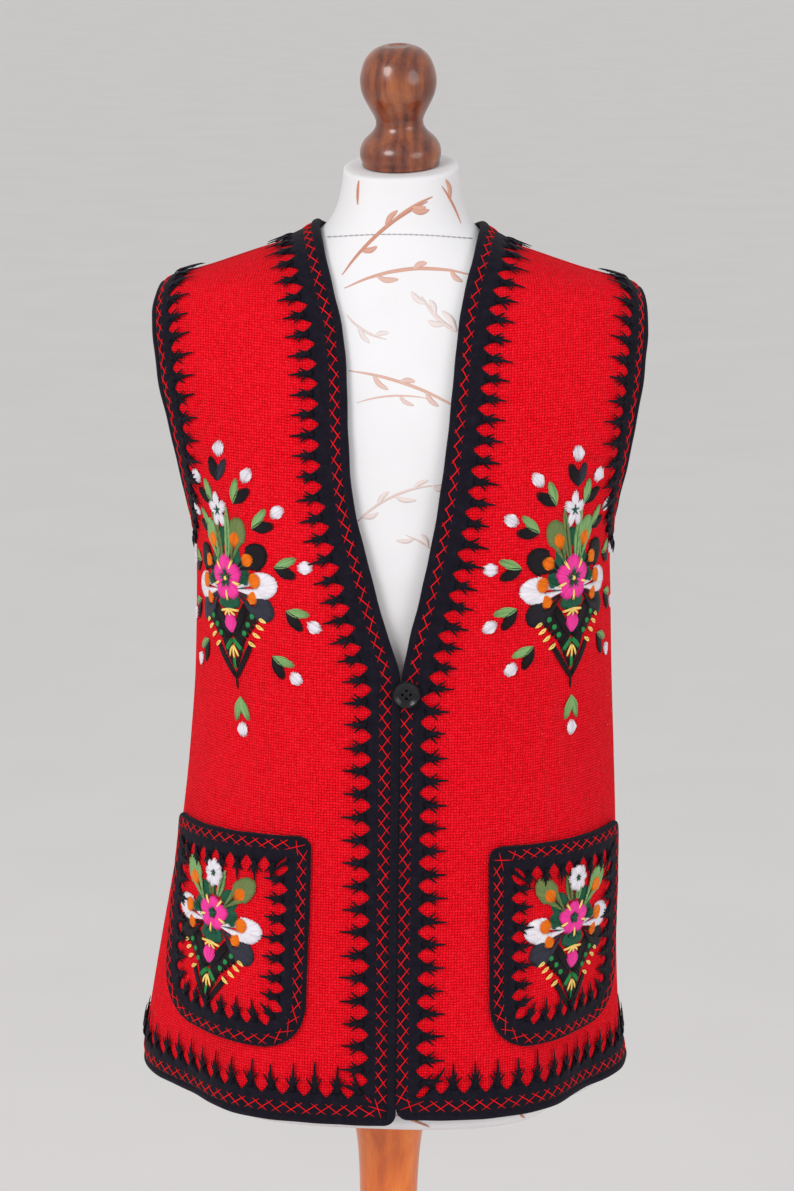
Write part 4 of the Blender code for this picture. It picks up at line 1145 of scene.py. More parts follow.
def trim(label, word, path, phase, sizes, low=BAND_LOW, high=BAND_TOP, columns=8, y_shift=0.0,
         section=EDGE_SECTION, start=BAND_START, sunk=None):
    """Toothed band and rounded binding of one edge. low and high are the band's lifts."""
    band = strip_sheet(f"{label}_trim_{word}", path, tooth_depth(phase, sizes), low, high, columns,
                       y_shift, start)
    stands_for(band, "black_wool", f"{label}_band_{word}")
    binding = roll(f"{label}_edge_roll_{word}", path, section, y_shift, sunk)
    stands_for(binding, "black_wool", f"{label}_binding_{word}")


phases = {}
for one_side, word in WORD.items():
    rows = fine_rows(front_panel(one_side), 4, 5)
    piece = fine_sheet("front_cloth_" + word, [rows], -CLOTH, 0.0, -HALF_GAP)
    stands_for(piece, "red_wool", "front_" + word)
    path = FRONT_PATHS[one_side]
    phases["front", one_side] = tooth_phase(path, FRONT_TEETH, front_pitches)
    trim("front", word, path, phases["front", one_side], FRONT_TEETH, y_shift=-HALF_GAP,
         sunk=SUNK[one_side])
    path = ARM_PATHS[one_side]
    phases["arm", one_side] = tooth_phase(path, ARMHOLE_TEETH)
    trim("armhole", word, path, phases["arm", one_side], ARMHOLE_TEETH, columns=7)
    path = POCKETS[one_side]
    phases["pocket", one_side] = tooth_phase(path, POCKET_TEETH)
    picks = np.linspace(0, len(path.angle), 168, endpoint=False).astype(int)
    parts = np.linspace(1, 0, 25)[:, None]
    rings = np.stack([line.mean() + (np.r_[line, line[:1]] - line.mean()) * parts
                      for line in path.at(picks, CLOTH_START)], axis=-1)
    piece = fine_sheet("pocket_cloth_" + word, [rings], POCKET_LIFT, POCKET_TOP)
    stands_for(piece, "red_wool", "pocket_" + word)
    trim("pocket", word, path, phases["pocket", one_side], POCKET_TEETH, POCKET_TOP + BAND_LOW,
         POCKET_BAND_LIFT + BAND_THICK, section=POCKET_SECTION, start=POCKET_TRIM_START)

halves = [fine_rows(rows, 4, 5) for rows in back_halves()]
piece = fine_sheet("back_cloth", halves, -CLOTH, 0.0, HALF_GAP)
stands_for(piece, "red_wool", "back")
for label, path, pitch in (("hem", BACK_HEM, HEM_PITCH), ("neck", BACK_NECK, NECK_PITCH)):
    sizes = (*FRONT_TEETH[:2], pitch)
    phases[label, 0] = tooth_phase(path, sizes)
    trim(label, "back", path, phases[label, 0], sizes, y_shift=HALF_GAP)


# How far the form's sides stay inside the armholes
FORM_INSIDE = 0.014
# Rim of the form's cap: share of the rim's size, lift
CAP_RINGS = ((0.975, 0.0010), (0.93, 0.0016), (0.86, 0.0016), (0.5, 0.0016))


def form_rings(heights, sides):
    """Rings of the form, as in its solid but finer."""
    angle = np.linspace(-math.pi, math.pi, sides, endpoint=False) + math.pi / sides
    points = []
    for h in heights:
        space = float(read(SPACE, h))
        ring = lifted(angle, np.full(len(angle), h), np.full(len(angle), -space - CLOTH))
        for side, column in ((-1, 1), (1, 2)):
            limit = float(read(ARM_EDGE, h, column)) - FORM_INSIDE
            if ARM_EDGE[0, 0] <= h <= TIP_H:
                ring[:, 0] = side * np.minimum(side * ring[:, 0], limit)
        points.append(ring)
    return points


def form_cover():
    """The form with its cover: torso, neck and cap."""
    sides = 96
    heights = np.r_[np.linspace(FORM_BOTTOM_H, 0.60, 90), np.linspace(0.604, 0.690, 28)]
    heights = np.r_[heights, FORM_TOP_H]
    points = form_rings(heights, sides)
    tilted = np.clip((heights - FORM_TILT_H) / (FORM_TOP_H - FORM_TILT_H), 0, 1) ** 2
    for ring, part in zip(points, tilted):
        ring[:, 2] += (ring[:, 1] * math.tan(FORM_TILT) + ring[:, 0] * math.tan(FINIAL_LEAN)) * part
    points[0] = points[0] * np.array([0.975, 0.975, 1.0])
    points[0][:, 2] = HEM_Z + FORM_BOTTOM_H
    rim = points[-1].mean(axis=0)
    low = points[0] * np.array([0.5, 0.5, 1.0])
    low[:, 2] -= 0.002
    middle_low = low.mean(axis=0)
    caps = [rim + (points[-1] - rim) * k + np.array([0, 0, lift]) for k, lift in CAP_RINGS]
    rings = [middle_low + (low - middle_low) * 0.4, low] + points + caps
    return (make("form_cover", np.concatenate(rings), tube_faces(len(rings), sides), COVER),
            rim + np.array([0, 0, CAP_RINGS[-1][1]]))


piece, cap = form_cover()
stands_for(piece, "printed_cover", "dress_form")
LEAN = (-math.sin(FINIAL_LEAN), -math.sin(FORM_TILT), math.cos(FORM_TILT))
# Profiles of the turned wood: radius, height
FINIAL = ((0, 0.0004), (0.0262, 0.0004), (0.0286, 0.0035), (0.0299, 0.0085), (0.0292, 0.0145),
          (0.0260, 0.0200), (0.0200, 0.0260), (0.0174, 0.0315), (0.0184, 0.0370),
          (0.0226, 0.0450), (0.0266, 0.0535), (0.0281, 0.0620), (0.0273, 0.0700),
          (0.0240, 0.0790), (0.0180, 0.0855), (0.0100, 0.0888), (0.0052, 0.0880), (0, 0.0878))
stands_for(turned("finial_wood", FINIAL, 72, WALNUT, cap, LEAN), "dark_wood", "finial")
top_z = HEM_Z + FORM_BOTTOM_H - 0.0024
COLUMN = ((0, BASE_THICK + 0.0003), (0.046, BASE_THICK + 0.0003), (0.046, 0.040), (0.034, 0.052),
          (0.027, 0.070), (0.024, 0.110), (0.0215, 0.300), (0.0215, 0.520), (0.0222, 0.590),
          (0.0240, 0.630), (0.0275, 0.655), (0.0300, 0.672), (0.0300, top_z), (0, top_z))
stands_for(turned("column_wood", COLUMN, 64, PINE), "light_wood", "column")
BASE = ((0, 0), (BASE_R - 0.006, 0), (BASE_R, 0.005), (BASE_R, 0.014), (BASE_R - 0.012, 0.021),
        (0.120, 0.0255), (0.060, BASE_THICK), (0, BASE_THICK))
stands_for(turned("base_wood", BASE, 128, PINE), "light_wood", "base")
for name, look in (("button", PLASTIC), ("button_stem", BLACK), ("button_loop", BLACK)):
    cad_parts[name].data.materials.clear()
    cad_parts[name].data.materials.append(look)


# Print of the cover, in an arrangement of its own: each sprig is a bent stem with leaves on both sides
# x and height in mm, way it grows in degrees, length, bend, leaves, half width, tone
SPRIGS = (
    (-42, 621, 52, 82, -34, 3, 1.3, 0.15),
    (-12, 652, 40, 44, -22, 1, 1.2, 0.20),
    (48, 656, 112, 30, 20, 1, 0.8, 0.15),
    (-34, 668, 95, 17, -14, 0, 0.9, 0.10),
    (-40, 612, 22, 96, -40, 3, 1.2, 0.35),
    (50, 580, 158, 44, -42, 4, 1.5, 0.85),
    (-38, 594, -46, 34, 40, 2, 0.9, 0.80),
    (-36, 556, -8, 90, -26, 4, 1.1, 0.45),
    (-30, 534, 16, 52, -30, 1, 0.6, 0.55),
    (-34, 444, 46, 78, -50, 5, 0.9, 0.72),
    (32, 426, 138, 30, 26, 2, 0.7, 0.70),
    (-8, 345, -24, 20, -24, 1, 1.0, 0.80),
    (-139, 3, -48, 12, 16, 0, 1.1, 0.10),
    (4, 3, -14, 28, -12, 0, 1.0, 0.10),
    (104, 3, -52, 12, 14, 0, 1.0, 0.15),
)


def sprig(x, height, way, length, bend, leaves, half, tone):
    """The strokes of one sprig: the stem, then its leaves on alternate sides."""
    t = np.linspace(0, 1, 6)
    turn = np.radians(way + bend * t)
    xs = x + np.concatenate([[0], np.cumsum(np.cos(turn[:-1]))]) * length / 5
    hs = height + np.concatenate([[0], np.cumsum(np.sin(turn[:-1]))]) * length / 5
    strokes = [(np.stack([xs, hs], axis=-1), half, tone)]
    for k in range(leaves):
        at = (k + 0.9) / (leaves + 0.5)
        side = 1 if k % 2 else -1
        aim = np.interp(at, t, turn) + side * (0.62 + 0.10 * math.sin(2.1 * k + x))
        size = (14.5 + 3.0 * math.sin(1.7 * k + height)) * (1.1 - 0.3 * at)
        root = np.array([np.interp(at, t, xs), np.interp(at, t, hs)])
        middle = root + size * 0.5 * np.array([math.cos(aim), math.sin(aim)])
        tip = middle + size * 0.5 * np.array([math.cos(aim - side * 0.4), math.sin(aim - side * 0.4)])
        strokes.append((np.stack([root, middle, tip]), 1.0 + 0.8 * half, min(tone + 0.15, 0.95)))
    return strokes


STEMS = [stroke for row in SPRIGS for stroke in sprig(*row)]
STEM_STEPS = 18
PRINT_LIFTS = (0.0002, -0.0004)  # of a stroke's outside and inside, over the cover


def sideways(line):
    """Directions across a flat line, to its left."""
    way = unit(np.gradient(line, axis=0))
    return np.stack([-way[:, 1], way[:, 0]], axis=-1)


def cover_print(name, strokes, low_tone, middle_tone, high_tone):
    """Flat strokes that lie on the cover."""
    t = np.linspace(0, 1, STEM_STEPS)
    points, faces, tones = [], [], []
    for line, half, tone in strokes:
        line = np.array(line, float)
        knots = np.linspace(0, 1, len(line))
        middle = np.stack([curve(t, knots, line[:, 0]), curve(t, knots, line[:, 1])], axis=-1)
        wide = half * np.sin(math.pi * (0.02 + 0.96 * t)) ** 0.6
        side = sideways(middle) * wide[:, None]
        strip = np.stack([middle - side, middle, middle + side], axis=1) * MM
        x, h = strip[..., 0].ravel(), strip[..., 1].ravel()
        angle, space = angle_of(x, h), read(SPACE, h)
        index = np.arange(len(x)).reshape(STEM_STEPS, 3)
        faces.append(closed_wall(grid_cells(index)[:, ::-1], len(x)) + len(points))
        for lift in PRINT_LIFTS:
            points += list(lifted(angle, h, lift - space - CLOTH))
        tones += [tone] * (2 * len(x))
    t = Tree(name, 0.7, middle_tone, specular=0.1)
    grain = t.noise(t.place(), 1400.0, 3.0, 0.7)
    level = t.math("MULTIPLY_ADD", grain, 0.30, t.math("ADD", t.attribute("shade"), -0.15))
    t.colour(level, (0.05, low_tone), (0.45, middle_tone), (0.95, high_tone))
    make(name, np.array(points), np.concatenate(faces), t.look, None, np.array(tones))


# Seam round the neck, in mm: half its width, height at its ends, rise, length and count of its dashes
SEAM_HALF, SEAM_H, SEAM_RISE, DASH, DASHES = 56, 646.5, 2.0, 4.2, 27


def seam_place(x):
    return x, SEAM_H + SEAM_RISE * (1 - (x / SEAM_HALF) ** 2)


NECK_SEAM = [((seam_place(x), seam_place(x + DASH)), 0.45, 0.3)
             for x in np.linspace(-SEAM_HALF, SEAM_HALF - DASH, DASHES)]
cover_print("cover_print", STEMS, (0.52, 0.21, 0.13), (0.66, 0.41, 0.34), (0.74, 0.66, 0.65))
cover_print("cover_seam", NECK_SEAM, (0.30, 0.29, 0.31), (0.42, 0.41, 0.43), (0.5, 0.49, 0.5))


# Embroidery and sewing threads: rings along a stitch, sides round it, and the stitches of each colour
RINGS = 5
SIDES = 6
KNOT_ROWS, KNOT_SIDES = 5, 12
dice = np.random.default_rng(7)
STRANDS = {}


class Sewing:
    """Collects stitches in a flat frame (metres), then lays them all over the cloth at once."""

    def __init__(self, place, base=0.0, y_shift=0.0):
        self.place, self.base, self.y_shift, self.sets = place, base, y_shift, []

    def add(self, piece, lines, width=0.0010, thick=0.0009, lift=0.0004, bulge=0.0006, tone=0.8,
            pointed=False):
        """Lines of (count, points, 2), or (count, 2, 2) for straight ones."""
        lines = np.asarray(lines, float)
        if lines.shape[1] != RINGS:
            t = np.linspace(0, lines.shape[1] - 1, RINGS)
            low = np.clip(t.astype(int), 0, lines.shape[1] - 2)
            part = (t - low)[None, :, None]
            lines = lines[:, low] * (1 - part) + lines[:, low + 1] * part
        shade = np.clip(tone + dice.normal(0, 0.17, len(lines)), 0.10, 1.0)
        self.sets.append((piece, lines, width, thick, lift, bulge, shade, pointed))

    def lay(self):
        """Puts the stitches on the cloth. Crossed ones run straight between their ends."""
        every = np.concatenate([lines for _, lines, *_ in self.sets])
        angle, height = self.place(every[..., 0], every[..., 1])
        shape = angle.shape
        point, _, _, normal = slopes_at(angle.ravel(), height.ravel())
        point, normal = point.reshape(*shape, 3), normal.reshape(*shape, 3)
        point[..., 1] += self.y_shift
        t = np.linspace(0, 1, RINGS)
        arch = np.sin(math.pi * t) ** 0.7
        start = 0
        for piece, lines, width, thick, lift, bulge, shade, pointed in self.sets:
            count = len(lines)
            part = slice(start, start + count)
            start += count
            up = self.base + lift + bulge * arch[None, :]
            if piece == "cross_stitch":
                first, last = point[part][:, :1], point[part][:, -1:]
                point[part] = first + (last - first) * t[None, :, None]
            centre = point[part] + normal[part] * up[..., None]
            STRANDS.setdefault(piece, []).append((centre, normal[part], np.full(count, width),
                                                  np.full(count, thick), shade,
                                                  np.full(count, float(pointed))))


def strand_mesh(name, look):
    """All the stitches of one colour as flattened round threads."""
    centre, normal, width, thick, shade, pointed = map(np.concatenate, zip(*STRANDS[name]))
    pointed = pointed[:, None]
    tangent = np.gradient(centre, axis=1)
    tangent /= np.maximum(np.linalg.norm(tangent, axis=-1, keepdims=True), 1e-9)
    across = np.cross(normal, tangent)
    across /= np.maximum(np.linalg.norm(across, axis=-1, keepdims=True), 1e-9)
    over = np.cross(tangent, across)
    t = np.linspace(0, 1, RINGS)
    taper = ((0.42 + 0.58 * np.sin(math.pi * t) ** 0.45) * (1 - pointed)
             + (0.30 + 0.70 * np.clip(1.35 * (1 - t), 0, 1)) * np.clip(0.5 + 4 * t, 0, 1) * pointed)
    turn_by = np.arange(SIDES) * 2 * math.pi / SIDES
    wide = (width[:, None] / 2 * taper)[..., None] * np.cos(turn_by)
    tall = (thick[:, None] / 2 * taper)[..., None] * np.sin(turn_by)
    points = (centre[:, :, None, :] + across[:, :, None, :] * wide[..., None]
              + over[:, :, None, :] * tall[..., None])
    count = len(centre)
    index = np.arange(count * RINGS * SIDES).reshape(count, RINGS, SIDES)
    after = np.roll(index, -1, axis=2)
    sides = np.stack([index[:, :-1], after[:, :-1], after[:, 1:], index[:, 1:]], axis=-1)
    faces = sides.reshape(-1, 4).tolist() + index[:, 0, ::-1].tolist() + index[:, -1].tolist()
    length = np.cumsum(np.linalg.norm(np.diff(centre, axis=1), axis=-1), axis=1)
    length = np.concatenate([np.zeros((count, 1)), length], axis=1)
    uv = np.stack([np.broadcast_to(length[:, :, None], (count, RINGS, SIDES)),
                   np.broadcast_to(np.arange(SIDES) / SIDES, (count, RINGS, SIDES))], axis=-1)
    tone = np.broadcast_to(shade[:, None, None], (count, RINGS, SIDES))
    obj = make(name, points.reshape(-1, 3), faces, look, uv.reshape(-1, 2), tone.ravel())


def knot_mesh(name, look, spots):
    """Round raised knots: (places, normals, radius) lists."""
    points, faces = [], []
    for place, normal, radius in spots:
        right = np.cross((0.0, 0.0, 1.0), normal)
        right /= np.linalg.norm(right)
        up = np.cross(normal, right)
        start = len(points)
        for i in range(KNOT_ROWS):
            level = i / KNOT_ROWS * math.pi / 2
            for k in range(KNOT_SIDES):
                turn_by = 2 * math.pi * k / KNOT_SIDES
                reach = radius * math.cos(level) * (1 + 0.06 * math.sin(3 * turn_by + i))
                points.append(place + (right * math.cos(turn_by) + up * math.sin(turn_by)) * reach
                              + normal * radius * 0.62 * math.sin(level))
        points.append(place + normal * radius * 0.60)
        *walls, low, top = tube_faces(KNOT_ROWS, KNOT_SIDES)
        cap = [[top[k], top[(k + 1) % KNOT_SIDES], KNOT_ROWS * KNOT_SIDES] for k in range(KNOT_SIDES)]
        faces += [[start + k for k in face] for face in (*walls, *cap, low)]
    points = np.array(points)
    make(name, points, faces, look, points[:, [0, 2]], np.full(len(points), 0.75))


def turned_lines(lines, base, tip):
    """Lines drawn along +x from the origin, moved so that they run from base towards tip."""
    base, tip = np.array(base, float), np.array(tip, float)
    way = (tip - base) / np.linalg.norm(tip - base)
    side = np.array([-way[1], way[0]])
    return base + lines[..., :1] * way + lines[..., 1:] * side


def distance(base, tip):
    """Length from one flat place to another."""
    return float(np.linalg.norm(np.array(tip, float) - np.array(base, float)))


# Petals: share of the length that the round head has, where the stitches of a fan start, how ragged it
# is, angle at which its head meets its sides, and share of its stitches in the head
PETAL_HEAD, FAN_INNER, FAN_RAGGED, HEAD_ANGLE, HEAD_SHARE = 0.40, 0.46, 0.25, math.radians(104), 0.66


def fan_petal(base, tip, half, spacing=0.78):
    """Short stitches that spread from the middle of a petal to its edge, in millimetres."""
    length = distance(base, tip)

    def on_head(a):
        along = length * (1 - PETAL_HEAD) + PETAL_HEAD * length * math.cos(a)
        return np.array([along, half * math.sin(a)])

    count = int(2 * (length * (1 - PETAL_HEAD) + math.pi * 0.5 * half) / spacing)
    out = []
    edge = on_head(HEAD_ANGLE)
    for u in np.linspace(-1, 1, count):
        if abs(u) < HEAD_SHARE:
            outer = on_head(u / HEAD_SHARE * HEAD_ANGLE)
            start = np.array([FAN_INNER * length, 0.0])
        else:
            t = (abs(u) - HEAD_SHARE) / (1 - HEAD_SHARE)
            side = math.copysign(1, u)
            outer = np.array([edge[0] * (1 - t) + 0.12 * length * (1 - t),
                              side * (edge[1] * (1 - t) ** 1.15 + 0.6)])
            start = np.array([FAN_INNER * length * (1 - t) * 0.9, 0.0])
        way = outer - start
        outer = outer + way / max(np.linalg.norm(way), 1e-6) * dice.normal(0, FAN_RAGGED)
        out.append([start + way * 0.10, outer])
    return turned_lines(np.array(out), base, tip)


def long_petal(base, tip, half, spacing, ragged, head=PETAL_HEAD, neck=0.16):
    """Long stitches side by side from the base to the round, ragged end of a petal."""
    length = distance(base, tip)
    count = max(3, int(2 * half / spacing) + 1)
    out = []
    for c in np.linspace(-1, 1, count):
        reach = length * (1 - head) + head * length * math.sqrt(max(0.0, 1 - (abs(c) * 0.97) ** 2))
        reach += dice.normal(0, ragged * 0.45)
        t = np.linspace(0, 1, RINGS)
        wide = neck + (1 - neck) * np.sin(np.clip(t * 0.62 + 0.02, 0, 0.5) * math.pi) ** 1.3
        out.append(np.stack([t * reach, c * half * wide], axis=-1))
    return turned_lines(np.array(out), base, tip)


def oval(middle, tip, half_long, half_wide, spacing=0.85, ragged=0.3):
    """Parallel stitches that fill an oval, along the way from its middle to tip."""
    count = max(3, int(2 * half_wide / spacing) + 1)
    out = []
    for c in np.linspace(-1, 1, count):
        reach = half_long * math.sqrt(max(0.0, 1 - (c * 0.93) ** 2)) + dice.normal(0, ragged * 0.4)
        out.append([(-reach, c * half_wide), (reach, c * half_wide)])
    return turned_lines(np.array(out), middle, tip)


def fishbone(base, tip, half, spacing, slant):
    """Slanting stitches from a leaf's middle vein to its edge."""
    length = distance(base, tip)
    out = []
    for a in np.arange(0, length * 0.97, spacing):
        t = a / length
        for side in (1, -1):
            end = min(1.0, t + slant)
            wide = half * math.sin(math.pi * min(1.0, 0.12 + 0.88 * end)) ** 0.7 if end < 1 else 0.3
            out.append([(a, side * 0.15), (end * length, side * (wide + dice.normal(0, 0.12)))])
    return turned_lines(np.array(out), base, tip)


def rope(points, width, spacing=0.85):
    """Parallel threads along a bent line of the given width."""
    points = np.array(points, float)
    side = sideways(points)
    count = max(1, int(round(width / spacing)))
    offs = (np.arange(count) - (count - 1) / 2) * spacing
    return np.array([points + side * off for off in offs])


def mirrored(lines):
    """The same lines on the other side of the motif's axis."""
    return np.asarray(lines, float) * np.array([-1.0, 1.0])


KNOTS = {"embroidery_knot_yellow": [], "embroidery_knot_green": [], "embroidery_knot_dark": []}


def sprigs_round(flip):
    """The sprigs round a chest motif: place of the bud, way it points in degrees, kind of leaves."""
    upper_x, upper_y = (23.4, 74.2) if flip > 0 else (-19.0, 76.0)
    side_x, side_y = (40.5, 49.4) if flip > 0 else (-34.5, 50.5)
    top_x, top_y = (4.0, 91.0) if flip > 0 else (8.0, 95.0)
    inner = (((69.4, 11.8, 2), (70.7, -29.7, -28.6), (53.8, -62.4, -39.7)) if flip > 0
             else ((70.0, 5.5, -3), (72.5, -38.0, -32), (53.0, -75.0, -45)))
    pairs = ((-29.3 * flip, 74.2, 90 + 35.6 * flip), (-51.3 * flip, 46.5, 90 + 63.4 * flip),
             (upper_x, upper_y, 90 - 31 * flip), (side_x, side_y, 90 - 52 * flip),
             (-69.4, 11.8, 178), (-70.7, -29.7, 208.6), (-53.8, -62.4, 219.7), *inner)
    single = [(top_x, top_y, 84 + 6 * flip, "top"), (1.5, -111.8, 270, "low")]
    return [(*row, "pair") for row in pairs] + single


def flower_motif(centre, lean, scale, base, full, flip):
    """The flower with its leaves. The full one also has black upper petals and its ring of sprigs.

    Its lengths are in millimetres. flip is -1 for the mirrored motif at the viewer's left."""
    def place(x, y):
        return on_cloth(centre, lean, x, y)

    sewing = Sewing(place, base)

    def sew(piece, lines, both=False, **how):
        lines = np.asarray(lines, float) * np.array([flip, 1.0])
        sewing.add(piece, lines * MM * scale, **how)
        if both:
            sewing.add(piece, mirrored(lines) * MM * scale, **how)

    flower_r = 17.8 if full else 16.4
    circle = 2 * math.pi
    # dark green ground
    sew("embroidery_green_dark", fan_petal((0, 10), (0, 38), 8.0, 1.4), lift=0.0002, bulge=0.0002,
        width=0.0016)
    for end, wide in (((-24, 3), 5.5), ((-20, -6), 6.0), ((-22, 14), 5.0), ((-15, 22), 5.0)):
        sew("embroidery_green_dark", fan_petal((-4, 1), end, wide, 1.6), True, lift=0.0002,
            bulge=0.0002, width=0.0017)
    # green leaves with orange ovals
    leaf_base, leaf_tip = ((-8, 12), (-19, 44)) if full else ((-11, 7), (-36, 35))
    eye = (-13.2, 28.5) if full else (-25.0, 21.5)
    light = "embroidery_green_light" if flip > 0 else "embroidery_green_olive"
    dark = "embroidery_green_olive" if flip > 0 else "embroidery_green_light"
    for kind, turn_over in ((dark, False), (light, True)):
        lines = fan_petal(leaf_base, leaf_tip, 9.0)
        dot = oval(eye, np.array(eye) + np.array(leaf_tip) - np.array(leaf_base), 6.4, 4.2)
        if turn_over:
            lines, dot = mirrored(lines), mirrored(dot)
        sew(kind, lines * np.array([flip, 1]), lift=0.0005 if full else 0.0013)
        sew("embroidery_orange", dot * np.array([flip, 1]), lift=0.0011 if full else 0.0019)
    for turn_over in (1, -1):
        thin = fishbone((-3.5, 14), (-8.5, 52 if full else 36), 3.4, 1.3, 0.12)
        sew("embroidery_green_light" if turn_over * flip < 0 else "embroidery_green_olive",
            thin * np.array([turn_over, 1]), lift=0.0007, thick=0.0008)
    if full:
        sew("embroidery_black", fan_petal((-12, 6), (-40.5, 20), 10.2, 0.72), True, lift=0.0006)
        sew("embroidery_orange", oval((-23.5, 13), (-36, 19), 5.6, 4.4), True, lift=0.0012)
    # white petals, dark lower petals
    side_end = (-47.5, -5.5) if full else (-47.0, -4.0)
    sew("embroidery_white", fan_petal((-9, -8), side_end, 10.4, 0.72), True, lift=0.0008)
    sew("embroidery_green_dark", oval((-20.5, -1.2), (-44, 1), 5.8, 3.6, 0.95), True, lift=0.0016,
        bulge=0.0003)
    sew("embroidery_orange", oval((-29.0, -2.0), (-44, 1), 5.6, 5.0), True, lift=0.0019)
    lower = fan_petal((-11, -11), (-41.5, -29.0), 10.2, 0.72)
    if full:
        sew("embroidery_grey" if flip < 0 else "embroidery_black_soft", lower, True, lift=0.0006)
    else:
        sew("embroidery_grey", lower, lift=0.0006)
        sew("embroidery_black", mirrored(lower), lift=0.0006)
    sew("embroidery_orange", oval((-25.2, -14.6), (-37, -20), 5.2, 4.4), True, lift=0.0012)
    # calyx, V leaf and its stitches
    for end in ((-11, -21), (-3.5, -25)):
        sew("embroidery_green_dark", fan_petal((0, -9), end, 5.2, 1.2), True, lift=0.0006, width=0.0014)
    sew("embroidery_black", rope([(-17.5, -20), (-9, -32), (-0.3, -43)], 6.6, 0.72), True, lift=0.0005)
    for k in range(8):
        t = k / 7
        start = np.array([-17.0 + 15.5 * t, -24.0 - 21.0 * t])
        end = start + np.array([-12.5 + 8.0 * t, -7.0 - 1.0 * t])
        sew("embroidery_black", rope([start, (start + end) / 2, end], 3.5, 0.72), True, lift=0.0004)
    sew("embroidery_black", rope([(-19.5, -47), (-11, -59), (-0.4, -73)], 4.4, 0.72), True, lift=0.0006)
    sew("embroidery_black", rope([(-11.5, -46), (-6, -56), (-0.4, -66)], 3.2, 0.72), True, lift=0.0005)
    sew("embroidery_black", rope([(0, -69), (0, -76), (0, -82)], 1.7), lift=0.0006)
    for x, y in ((-31.0, -31.2), (-28.0, -36.4), (-24.0, -42.2), (-18.8, -48.6)):
        way = np.array([-0.84, -0.50])
        side = np.array([0.50, -0.84])
        for off in (-0.75, 0.75):
            start = np.array([x, y]) - way * 3.6 + side * off * 0.4
            middle = np.array([x, y]) + side * off * 1.25
            end = np.array([x, y]) + way * 4.0 + side * off * 0.3
            sew("embroidery_yellow", [[start, middle, end]], True, lift=0.0007, width=0.00135)
    sew("embroidery_green_bright", rope([(-9.5, -54), (-5, -49), (-0.4, -45)], 3.2), True, lift=0.0008)
    sew("embroidery_green_bright", rope([(0, -56), (0, -61), (0, -67)], 2.6), lift=0.0008)
    for end in ((-5.2, -58.5), (0.0, -60.0)):
        line = [(-0.3, -49.5), np.array(end) * (0.5, 0.9), end]
        sew("embroidery_yellow", rope(line, 1.9), end[0] < 0, lift=0.0011)
    # pink bud with its yellow crown
    sew("embroidery_pink", long_petal((0, -40), (0, -25.5), 6.3, 0.85, 0.3), lift=0.0010)
    for x, y in ((-10.5, -24.0), (-6.0, -27.5)):
        sew("embroidery_yellow", rope([(0, -22.6), (x * 0.55, y * 0.5 - 11.4), (x, y)], 1.8), True,
            lift=0.0013)
    sew("embroidery_yellow", rope([(0, -22.0), (0, -25), (0, -28)], 1.8), lift=0.0013)
    # pink flower
    lines = []
    for a in np.arange(0, circle, 0.80 / (flower_r * 0.86)):
        lobe = abs(math.cos(2.5 * (a - math.pi / 2)))
        reach = flower_r * (0.66 + 0.34 * lobe ** 0.60) + dice.normal(0, 0.22)
        reach *= 1.0 if full else 1.0 - 0.20 * math.sin(a) ** 2
        lines.append([(size * math.cos(a), size * math.sin(a)) for size in (3.2, reach)])
    sew("embroidery_pink", lines, lift=0.0012, bulge=0.0009)
    inside, between_petals = [], []
    for k in range(5):
        a = math.pi / 2 + k * circle / 5
        for off in (-0.30, 0.0, 0.30):
            far = (9.6 if off == 0 else 7.6) * (1.0 if full else 0.5)
            inside.append([(1.0 * math.cos(a + off), 1.0 * math.sin(a + off)),
                           (far * math.cos(a + off), far * math.sin(a + off))])
        b = a + math.pi / 5
        for off in (-0.045, 0.045):
            between_petals.append([(6.4 * math.cos(b), 6.4 * math.sin(b)),
                                   (flower_r * 0.92 * math.cos(b + off),
                                    flower_r * 0.92 * math.sin(b + off))])
    sew("embroidery_green_dark", inside, lift=0.0021, bulge=0.0003)
    sew("embroidery_yellow", between_petals, lift=0.0019, bulge=0.0004, width=0.0012)
    # small white flower
    top = np.array([1.0, 50.0]) if full else np.array([2.0, 31.5])
    lines, inside = [], []
    for a in np.arange(0, circle, 0.10):
        lobe = abs(math.cos((2.5 if full else 4.0) * (a - math.pi / 2)))
        reach = 14.2 * (0.38 + 0.62 * lobe ** 0.75) if full else 11.6 * (0.80 + 0.20 * lobe)
        reach += dice.normal(0, 0.35)
        way = np.array([math.cos(a) * (0.72 if full else 0.86), math.sin(a)])
        lines.append([top + way * 1.5, top + way * reach])
    for k in range(5):
        a = math.pi / 2 + k * circle / 5
        inside.append([top, top + (4.6 if full else 2.8) * np.array([math.cos(a), math.sin(a)])])
    over_spikes = 0.0 if full else 0.0014
    sew("embroidery_white", lines, lift=0.0010 + over_spikes, bulge=0.0007)
    sew("embroidery_green_dark", inside, lift=0.0017 + over_spikes, bulge=0.0002)
    if full:
        for x, y, degrees, kind in sprigs_round(flip):
            axis = math.radians(degrees)
            way = np.array([math.cos(axis), math.sin(axis)])
            bud = np.array([x, y])
            joint = bud - way * 24.0
            upper = -1 if math.cos(axis) < 0 else 1
            for sign, piece in ((upper, "embroidery_green_light"), (-upper, "embroidery_black")):
                if kind == "top":
                    piece = "embroidery_black" if sign > 0 else "embroidery_grey"
                if kind == "low":
                    piece = "embroidery_green_light"
                turn_by = axis + sign * math.radians(20 if piece != "embroidery_black" else 23)
                tip = joint + 18.6 * np.array([math.cos(turn_by), math.sin(turn_by)])
                half = 4.0 if "black" in piece else 3.2
                sewing.add(piece, long_petal(joint, tip, half, 0.80, 0.4, 0.45, 0.08) * MM * scale)
